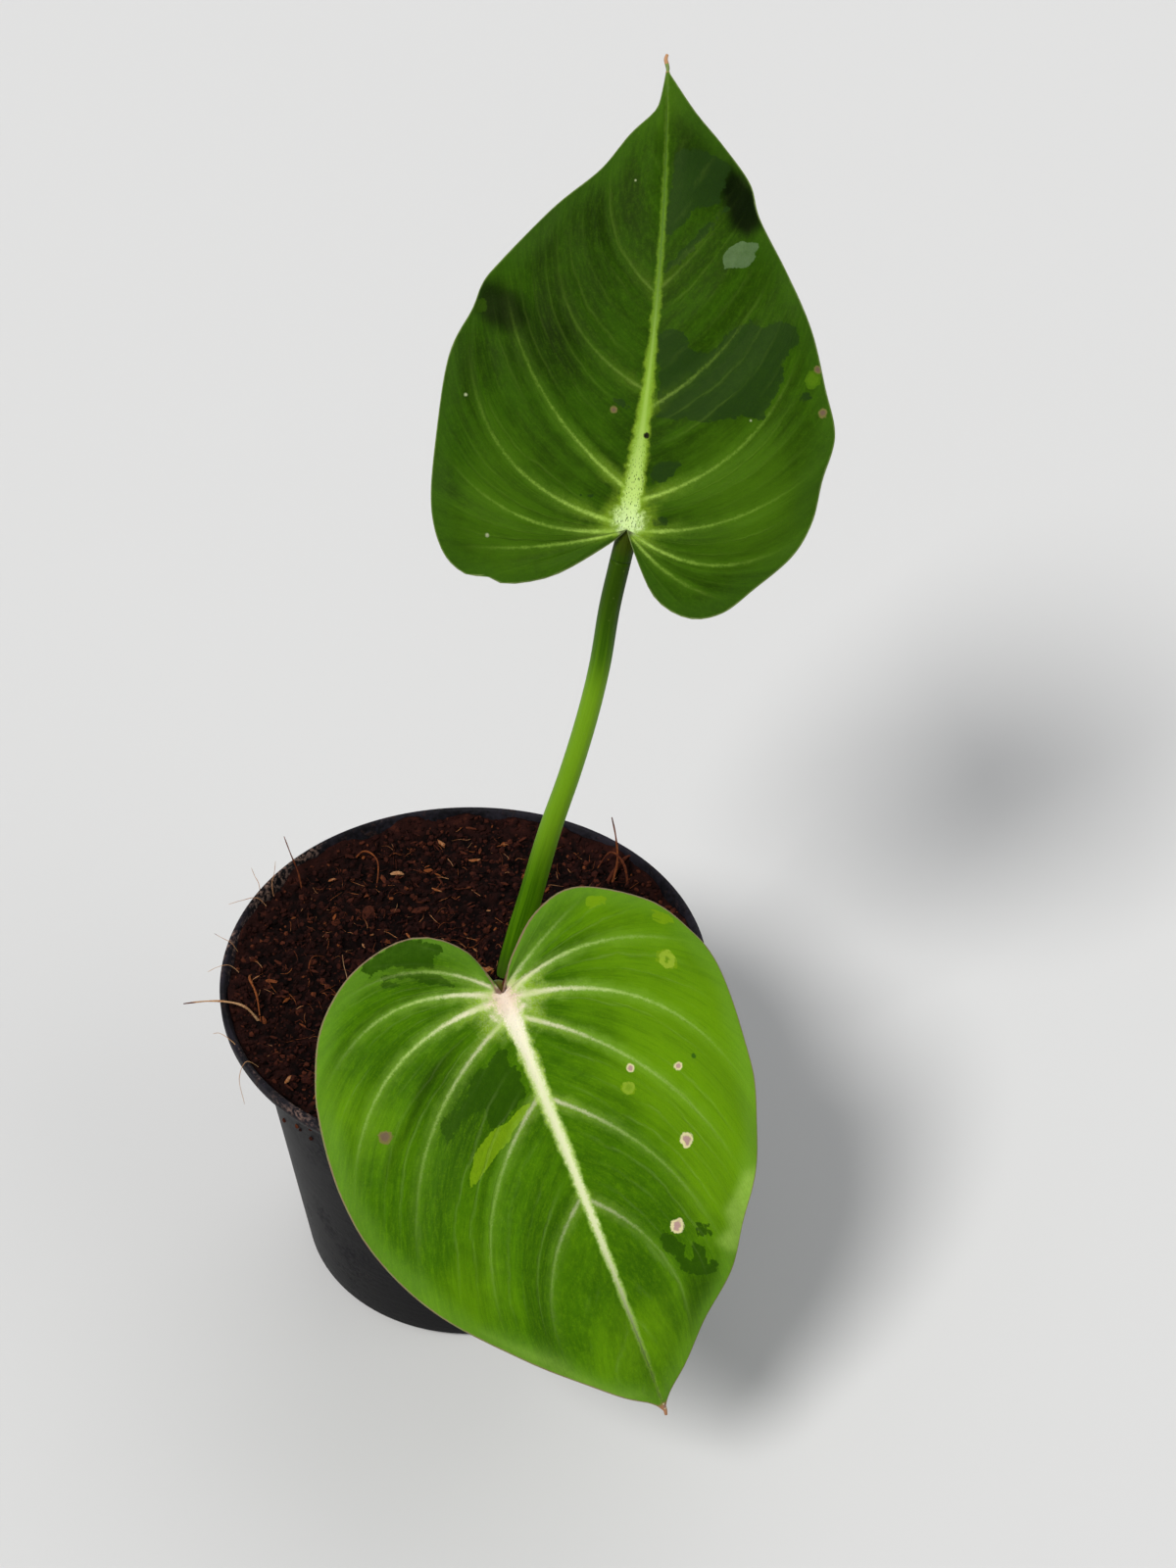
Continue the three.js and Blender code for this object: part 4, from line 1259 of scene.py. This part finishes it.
def potMaterial():
    look = Look("black pot plastic", pot)
    place = look.place()
    x, y, z = look.parts(place)
    cloud = look.noise(place, 55, 5, 0.65)
    fine = look.noise(place, 900, 4, 0.65)
    scratch = look.noise(look.vector(x * 60, y * 60, z * 900), 1, 4, 0.7)
    # real dust, laid thicker and greyer on the lip, where its grey also stands in as painted sheen
    rim = z.fadeAt(pot["dustAndSheenFrom"])
    dust = (cloud * 0.6 + fine * 0.4 + rim * 0.12).fade(0.5, 0.74)
    soil = (look.noise(place, 260, 5, 0.7) + z.fadeAt(pot["soilFrom"]) * 0.08).fade(0.66, 0.76)
    # lime that the water has left on the lip, laid thicker on the left, where it also stands in as a
    # painted highlight along the lip
    streaks = look.noise(look.vector((x * x + y * y) ** 0.5 * 900, x * 60, y * 60), 1, 4, 0.7)
    lime = (look.noise(place, 45, 3) * 0.7 + streaks * 0.5 - x * 1.2).fade(0.64, 0.78)
    lime = lime * z.fadeAt(pot["limeFrom"])
    tone = look.over(
        "black",
        (dust * (0.12 + rim * 0.3), "dust"),
        (soil * 0.4, "soil"),
        (lime * fine.fade(0.46, 0.6) * 0.7, "lime"),
    )
    return look.finish({
        "Base Color": tone,
        "Roughness": 0.45 + dust * 0.25 + scratch * 0.1 + lime * 0.3,
        "Normal": look.bump(fine * 0.4 + scratch * 0.3 + soil * 0.6 + lime * 0.5, 0.00016),
        "Specular IOR Level": 0.1,
    })


def potProfile():
    # from the middle of the base out and up to the lip, then back down the inside
    wall, slope = pot["wall"], pot["channelSlope"]
    disc, inner, outer, channel = pot["discRadius"], pot["footInner"], pot["footOuter"], pot["channel"]
    neck, rim, top = pot["neckRadius"], pot["rimRadius"], pot["height"]
    return [
        (0, 0), (disc, 0), (disc + slope, channel), (inner - slope, channel), (inner, 0), (outer, 0),
        (pot["baseRadius"], 2), (neck, pot["neckHeight"]), (57, 83.5), (59.4, 85.3), (rim, 87),
        (rim, top - 0.5), (rim - 0.45, top), (rim - 1.05, top), (rim - 1.5, top - 0.6), (rim - 2.3, 87.3),
        (56, 84.8), (neck - wall, pot["neckHeight"] + 0.5), (wallAt(2.8) - wall, 2.8), (outer - 0.6, wall),
        (inner + 0.7, wall), (inner - slope + 0.6, channel + wall), (disc + slope - 0.6, channel + wall),
        (disc - 0.7, wall), (0, wall),
    ]


def warpRim(vert):
    # thin plastic is never quite round at the rim
    turn = math.atan2(vert.co.y, vert.co.x)
    give = max(0, vert.co.z / mm / pot["height"] - 0.5) * 2
    oval, lobes = pot["outOfRound"]
    out = 1 + give * (oval * math.sin(2 * turn + 0.6) + lobes * math.sin(5 * turn + 2))
    vert.co.x *= out
    vert.co.y *= out
    vert.co.z += pot["outOfLevel"] * mm * give * math.sin(3 * turn + 1)


def drillHoles(piece):
    cutter = bmesh.new()
    for i in range(pot["holes"]):
        x, y = polar(pot["holeReach"] * mm, 2 * math.pi * (i + 0.5) / pot["holes"])
        radius = pot["holeRadius"] * mm
        bmesh.ops.create_cone(cutter, cap_ends=True, segments=40, radius1=radius, radius2=radius,
                              depth=pot["drillDepth"] * mm, matrix=Matrix.Translation((x, y, 0)))
    drill = addObject("drill", meshOf("drill", cutter))
    cut = piece.modifiers.new("holes", "BOOLEAN")
    cut.operation = "DIFFERENCE"
    cut.solver = "EXACT"
    cut.object = drill
    bpy.context.view_layer.update()
    shaped = bpy.data.meshes.new_from_object(piece.evaluated_get(bpy.context.evaluated_depsgraph_get()))
    piece.modifiers.clear()
    piece.data = shaped
    shaped.shade_smooth()
    shaped.set_sharp_from_angle(angle=math.radians(40))
    bpy.data.objects.remove(drill)


def makePot():
    bm = bmesh.new()
    verts = [bm.verts.new((radius * mm, 0, z * mm)) for radius, z in potProfile()]
    for pair in zip(verts, verts[1:]):
        bm.edges.new(pair)
    bmesh.ops.bevel(bm, geom=verts[1:-1], offset=pot["rounding"] * mm, offset_type="OFFSET", segments=3,
                    profile=0.5, affect="VERTICES", clamp_overlap=True, material=-1)
    tall = [edge for edge in bm.edges if edge.calc_length() > 20 * mm]
    bmesh.ops.subdivide_edges(bm, edges=tall, cuts=pot["wallCuts"])
    bmesh.ops.spin(bm, geom=bm.verts[:] + bm.edges[:], cent=(0, 0, 0), axis=(0, 0, 1),
                   angle=2 * math.pi, steps=pot["turnSteps"], use_merge=True)
    bmesh.ops.remove_doubles(bm, verts=bm.verts, dist=1e-6)
    for vert in bm.verts:
        warpRim(vert)
    bmesh.ops.recalc_face_normals(bm, faces=bm.faces)
    piece = newPiece("pot_shell", bm, [potMaterial()], ["pot"])
    drillHoles(piece)
    print("pot ready")


# potting mix

mix = {
    "level": 86.6,
    "edgeDrop": 0.6,
    "relief": 1.1,
    "edge": 56.4,
    "reach": 58.1,
    # against the wall it is banked up and loses its clods: from where and over what width
    "bank": 2.9,
    "bankFrom": 48,
    "bankWidth": 10,
    "smoothFrom": 54,
    "smoothWidth": 4,
    "wallGap": 0.3,
    "cells": 210,
    # clods, lumps and grit: waves to the millimetre, place in the noise and height
    "broken": [(0.2, 3, 1.0), (0.55, 9, 0.9), (1.5, 5, 0.4)],
    "lots": 34,
    "crumbs": 7480,
    "crumbSize": (0.35, 1.05),
    "paleShare": 0.025,
    "splinters": 320,
    "splinterReach": 54.5,
    "splinterTones": (0.42, 0.46, 0.5, 0.54, 0.58, 0.62, 0.68, 0.76, 0.86),
    "chips": 26,
    "chipReach": 50.5,
    "chipSize": (1.8, 3.4),
    "chipsClearOfPlant": 11,
    # two chips that stand out: place, lift, scale and tone
    "paleChips": [((5.6, 1.8), 0.8, (1.4, 0.9, 0.8), 0.84), ((-18.4, 37.5), 0.5, (1.9, 0.6, 0.4), 0.93)],
    "fibres": 6,
    "fibreReach": 46,
    "fibresClearOfPlant": 19,
    "hairs": 520,
    "hairReach": 51,
    "hairLimit": 55,
    "seed": 11,
    "looseSeed": 5,
    "tones": [(0, paint(3, 1, 1)), (0.25, paint(13, 5, 4)), (0.5, paint(40, 17, 13)),
              (0.68, paint(78, 38, 24)), (0.82, paint(128, 70, 34)), (1, paint(184, 144, 104))],
}

# strands of coir that stand out of the mix: each with its route, its radius and its tone
strands = [
    ([(-49, -13.5, 84.5), (-53, -13, 90.5), (-57.5, -12.8, 92), (-62.5, -12.5, 91.8),
      (-67.5, -14, 92.5)], 0.36, 0.96),
    ([(-42, 31, 84.5), (-43.3, 34, 91), (-45, 36.5, 94.5), (-46.8, 40, 97.5)], 0.28, 0.7),
    ([(36, 33, 84.5), (38, 38, 90.5), (37.6, 42.5, 95), (36.6, 45, 99.5)], 0.4, 0.74),
    ([(41, 32, 84.5), (39.5, 37, 91), (36.5, 40, 92), (32, 40, 84.5)], 0.4, 0.7),
    ([(-53, 3.5, 84.5), (-52.8, -1.6, 88.5), (-50.5, -8, 89), (-49, -15.5, 84.5)], 0.38, 0.8),
    ([(-31, 43, 84.5), (-27, 43, 89.5), (-23.4, 39, 90), (-23.8, 29, 84.5)], 0.3, 0.75),
    ([(34.5, 34, 85), (37.5, 37.5, 88.2), (41, 41.5, 89.2), (44, 42, 87)], 0.7, 0.64),
    ([(-49, 28, 86), (-49.6, 30, 90.4), (-49.2, 33, 91.2), (-49, 36, 92.6)], 0.12, 0.9),
    ([(-52.3, 28, 86), (-53, 30, 90.8), (-54, 31.6, 91.6), (-54.9, 33.2, 93)], 0.12, 0.95),
    ([(-50, 25, 86), (-53, 24.5, 90.8), (-56.5, 23, 91.4), (-59.8, 22, 91)], 0.13, 0.92),
    ([(-55, 1.5, 86.5), (-58, 0.6, 91), (-60.8, -0.4, 91.2), (-63, -1.2, 90.4)], 0.12, 0.97),
    ([(-52.5, -25, 86.5), (-55, -24.6, 90.6), (-58, -22.4, 91), (-60, -20.6, 89)], 0.12, 0.97),
    ([(-47, -30, 86), (-51, -31.5, 90.8), (-52.6, -34, 88), (-51.4, -38, 83)], 0.11, 0.95),
    ([(-28.6, -1.4, 85), (-28.9, -1.2, 89), (-29.5, -0.6, 92.5), (-29.7, 0.2, 95)], 0.13, 0.97),
    ([(-56.2, 9, 86), (-58, 8.6, 90.6), (-60.6, 10, 91.2), (-62.6, 12.4, 90.2)], 0.1, 0.93),
]

# grains that have stuck to the outside of the pot: turn in degrees and height
strayGrains = [
    (-151, 62.1), (-141.6, 68.2), (-140.2, 68), (-134.3, 73), (-135.4, 68.6), (-128, 76), (-100, 70),
    (-63, 74), (-60, 71.5), (20, 75), (74, 68), (82, 72), (140, 74), (163, 66),
]


def seededRandom(seed):
    # the same draws that the solids were made with
    state = seed
    while True:
        state = (state * 1664525 + 1013904223) % 4294967296
        yield state / 4294967296


def reliefAt(x, y):
    broad = math.sin(0.11 * x + 0.7) * math.cos(0.13 * y - 0.4)
    lumps = math.sin(0.43 * x + 1.1 * math.sin(0.21 * y)) * math.sin(0.39 * y + 0.9 * math.sin(0.17 * x))
    return mix["relief"] * (0.7 * broad + 0.6 * lumps)


def surfaceAt(x, y):
    edge = min(1, math.hypot(x, y) / mix["edge"]) ** 4
    return mix["level"] - mix["edgeDrop"] * edge + reliefAt(x, y) * (1 - 0.75 * edge)


def noiseAt(x, y, scale, layer):
    return noise.noise(Vector((x * scale, y * scale, layer)))


def crumbledAt(x, y):
    # the same surface, broken into clods and crumbs and banked up against the wall
    reach = math.hypot(x, y)
    broken = sum(noiseAt(x, y, scale, layer) * height for scale, layer, height in mix["broken"])
    near = clamp((reach - mix["bankFrom"]) / mix["bankWidth"]) ** 2.5
    bank = near * mix["bank"] * (0.75 + noiseAt(x, y, 0.09, 7))
    free = 1 - 0.7 * clamp((reach - mix["smoothFrom"]) / mix["smoothWidth"])
    return surfaceAt(x, y) + bank + broken * free


def distanceToPlant(x, y):
    return min(math.hypot(p[0] - x, p[1] - y) for p in rhizome["axis"] + rhizome["tip"])


def mixMaterial():
    look = Look("coir mix", mix)
    place = look.place()
    tone = look.attribute("tone", "Fac")
    grain = look.noise(place, 1500, 4, 0.7)
    clod = look.noise(place, 300, 4, 0.6)
    shade = tone + (grain - 0.5) * 0.34 + (clod - 0.5) * 0.2
    return look.finish({
        "Base Color": look.node("ValToRGB", {"stops": mix["tones"]}, (shade,)),
        "Roughness": 0.8 + grain * 0.2,
        "Normal": look.bump(grain * 0.6 + clod * 0.4, 0.0007),
        "Specular IOR Level": 0.06,
    })


def tonedMesh():
    bm = bmesh.new()
    return bm, bm.verts.layers.float.new("tone")


def makeMixBody(material):
    bm, tone = tonedMesh()
    cells = mix["cells"]
    bmesh.ops.create_grid(bm, x_segments=cells, y_segments=cells, size=1)
    for vert in bm.verts:
        # a square grid pressed into the round of the pot
        x, y = vert.co.x, vert.co.y
        place = Vector((x * math.sqrt(1 - y * y / 2), y * math.sqrt(1 - x * x / 2))) * mix["reach"]
        height = crumbledAt(place.x, place.y)
        vert.co = Vector((place.x, place.y, height)) * mm
        # raised clods are lighter and hollows darker: painted shade in the hollows
        raised = min(1.2, height - surfaceAt(place.x, place.y))
        vert[tone] = 0.26 + 0.14 * raised + 0.2 * noiseAt(place.x, place.y, 0.4, 1)
    # its side follows the inside of the pot down to the base
    ring = [edge for edge in bm.edges if edge.is_boundary]
    gap = pot["wall"] + mix["wallGap"]
    depths = [(55.6, 84.6), (pot["neckRadius"] - gap, 80.6), (wallAt(40) - gap, 40), (wallAt(6) - gap, 6),
              (pot["footInner"] - 1, pot["channel"] + gap)]
    for radius, z in depths:
        step = bmesh.ops.extrude_edge_only(bm, edges=ring)["geom"]
        for vert in (item for item in step if isinstance(item, bmesh.types.BMVert)):
            flat = vert.co.xy.normalized() * radius * mm
            vert.co = Vector((flat.x, flat.y, z * mm))
        ring = [item for item in step if isinstance(item, bmesh.types.BMEdge)]
    bmesh.ops.holes_fill(bm, edges=ring, sides=0)
    bmesh.ops.recalc_face_normals(bm, faces=bm.faces)
    newPiece("mix_body", bm, [material], ["potting_mix"])


def addLump(bm, tone, place, scale, turn, value, loose, finer=1):
    where = Matrix.LocRotScale(Vector(place) * mm, turn, Vector(scale) * mm)
    for vert in bmesh.ops.create_icosphere(bm, subdivisions=finer, radius=1, matrix=where)["verts"]:
        vert.co += (vert.co - Vector(place) * mm) * loose.uniform(-0.3, 0.3)
        vert[tone] = value


def addStrand(bm, tone, stops, radius, value, sides, steps):
    before = len(bm.verts)
    addTube(bm, springLine(stops), lambda k: radius * (1 - 0.6 * k) * (1 + 0.15 * math.sin(k * 23)),
            sides=sides, steps=steps)
    for vert in list(bm.verts)[before:]:
        vert[tone] = value


def inDisc(most, near, turn):
    # a place in a disc from two random numbers
    return polar(most * math.sqrt(near), 2 * math.pi * turn)


def turnOf(*turns):
    whole = Matrix.Identity(3)
    for axis, angle in turns:
        whole = whole @ Matrix.Rotation(angle, 3, axis)
    return whole.to_quaternion()


def addCrumb(bm, tone, loose):
    low, high = mix["crumbSize"]
    size = low + (high - low) * loose.random() ** 2.4
    x, y = inDisc(mix["reach"] - size, loose.random(), loose.random())
    value = min(0.66, max(0.12, loose.gauss(0.43, 0.1)))
    if loose.random() < mix["paleShare"]:
        value = loose.uniform(0.62, 0.78)
    scale = (size, size * loose.uniform(0.6, 1), size * loose.uniform(0.45, 0.9))
    turn = turnOf(("Z", loose.uniform(0, 6.3)), ("X", loose.uniform(0, 3)))
    height = crumbledAt(x, y) + loose.uniform(-0.1, 0.45) * size
    addLump(bm, tone, (x, y, height), scale, turn, value, loose)


def addStrayGrain(bm, tone, degrees, z, loose):
    place = (*polar(wallAt(z) + 0.1, math.radians(degrees)), z)
    size = loose.uniform(0.4, 0.8)
    addLump(bm, tone, place, (size, size, size * 0.8), None, loose.uniform(0.45, 0.7), loose)


def makeCrumbs(material, loose):
    # made in small lots, which are then put together in one mesh
    whole = tonedMesh()[0]
    for lot in range(mix["lots"]):
        bm, tone = tonedMesh()
        for i in range(mix["crumbs"] // mix["lots"]):
            addCrumb(bm, tone, loose)
        if lot == 0:
            for degrees, z in strayGrains:
                addStrayGrain(bm, tone, degrees, z, loose)
        mesh = meshOf("lot", bm)
        whole.from_mesh(mesh)
        bpy.data.meshes.remove(mesh)
    newPiece("mix_crumbs", whole, [material], ["potting_mix"], smooth=False)


def addChips(bm, tone, draw, loose):
    low, high = mix["chipSize"]
    count = 0
    while count < mix["chips"]:
        x, y = inDisc(mix["chipReach"], next(draw), next(draw))
        size = low + (high - low) * next(draw) ** 2
        turns = [next(draw) * 6, next(draw) * 6, next(draw) * 6]
        if distanceToPlant(x, y) < mix["chipsClearOfPlant"]:
            continue
        count += 1
        turn = turnOf(("Z", turns[2]), ("Y", turns[1] * 0.12), ("X", turns[0] * 0.12))
        place = (x, y, crumbledAt(x, y) + 0.05 * size)
        scale = (size * 0.72, size * 0.5, size * 0.3)
        addLump(bm, tone, place, scale, turn, 0.48 + 0.24 * (turns[0] / 6), loose, 2)
    for (x, y), lift, scale, value in mix["paleChips"]:
        addLump(bm, tone, (x, y, crumbledAt(x, y) + lift), scale, None, value, loose, 2)


def addSplinter(bm, tone, loose):
    x, y = inDisc(mix["splinterReach"], loose.random(), loose.random())
    size = loose.uniform(0.6, 1.9)
    turn = turnOf(("Z", loose.uniform(0, 6.3)), ("Y", loose.gauss(0, 0.3)))
    scale = (size, size * loose.uniform(0.15, 0.4), size * loose.uniform(0.12, 0.25))
    value = loose.choice(mix["splinterTones"])
    addLump(bm, tone, (x, y, crumbledAt(x, y) + 0.5), scale, turn, value, loose)


def makeChips(material, draw, loose):
    bm, tone = tonedMesh()
    addChips(bm, tone, draw, loose)
    for i in range(mix["splinters"]):
        addSplinter(bm, tone, loose)
    newPiece("mix_chips", bm, [material], ["potting_mix"], smooth=False)


def addFibres(bm, tone, draw):
    # arches that both ends hold in the mix
    count = 0
    while count < mix["fibres"]:
        x, y = inDisc(mix["fibreReach"], next(draw), next(draw))
        heading = 2 * math.pi * next(draw)
        half, lift = 4 + 4 * next(draw), 1.4 + 2 * next(draw)
        if distanceToPlant(x, y) < mix["fibresClearOfPlant"]:
            continue
        count += 1
        dx, dy = polar(half, heading)
        ends = [(a, b, surfaceAt(a, b) - 1.6) for a, b in ((x - dx, y - dy), (x + dx, y + dy))]
        top = (x - 0.3 * dy, y + 0.3 * dx, surfaceAt(x, y) + lift)
        addStrand(bm, tone, [ends[0], top, ends[1]], 0.22, 0.72, 6, 16)


def addHair(bm, tone, loose):
    x, y = inDisc(mix["hairReach"], loose.random(), loose.random())
    heading, bend, size = loose.uniform(0, 6.283), loose.uniform(-0.5, 0.5), loose.uniform(2, 6.5)
    route = []
    for step in range(4):
        dx, dy = polar(size, heading)
        x += dx / 3
        y += dy / 3
        heading += bend
        if math.hypot(x, y) < mix["hairLimit"]:
            route.append((x, y, crumbledAt(x, y) + loose.uniform(0.3, 1.1)))
    if len(route) > 2:
        addStrand(bm, tone, route, loose.uniform(0.05, 0.13), loose.uniform(0.48, 0.92), 5, 8)


def makeFibres(material, draw, loose):
    bm, tone = tonedMesh()
    for stops, radius, value in strands:
        addStrand(bm, tone, stops, radius, value, 8, 28)
    addFibres(bm, tone, draw)
    for i in range(mix["hairs"]):
        addHair(bm, tone, loose)
    bmesh.ops.recalc_face_normals(bm, faces=bm.faces)
    newPiece("mix_fibres", bm, [material], ["potting_mix"])


def makeMix():
    material = mixMaterial()
    draw = seededRandom(mix["seed"])
    loose = random.Random(mix["looseSeed"])
    makeMixBody(material)
    makeCrumbs(material, loose)
    makeChips(material, draw, loose)
    makeFibres(material, draw, loose)
    print("potting mix ready")


# the whole plant

makeStudio()
makePot()
makeMix()
stalkSkin = stalkMaterial()
upperStalk, frontStalk = makeStalks(stalkSkin)
makeRhizome(upperStalk, frontStalk)
makeLeaf("leaf_upper", upperLeaf, upperStalk, stalkSkin)
makeLeaf("leaf_front", frontLeaf, frontStalk, stalkSkin)
print("leaves ready")
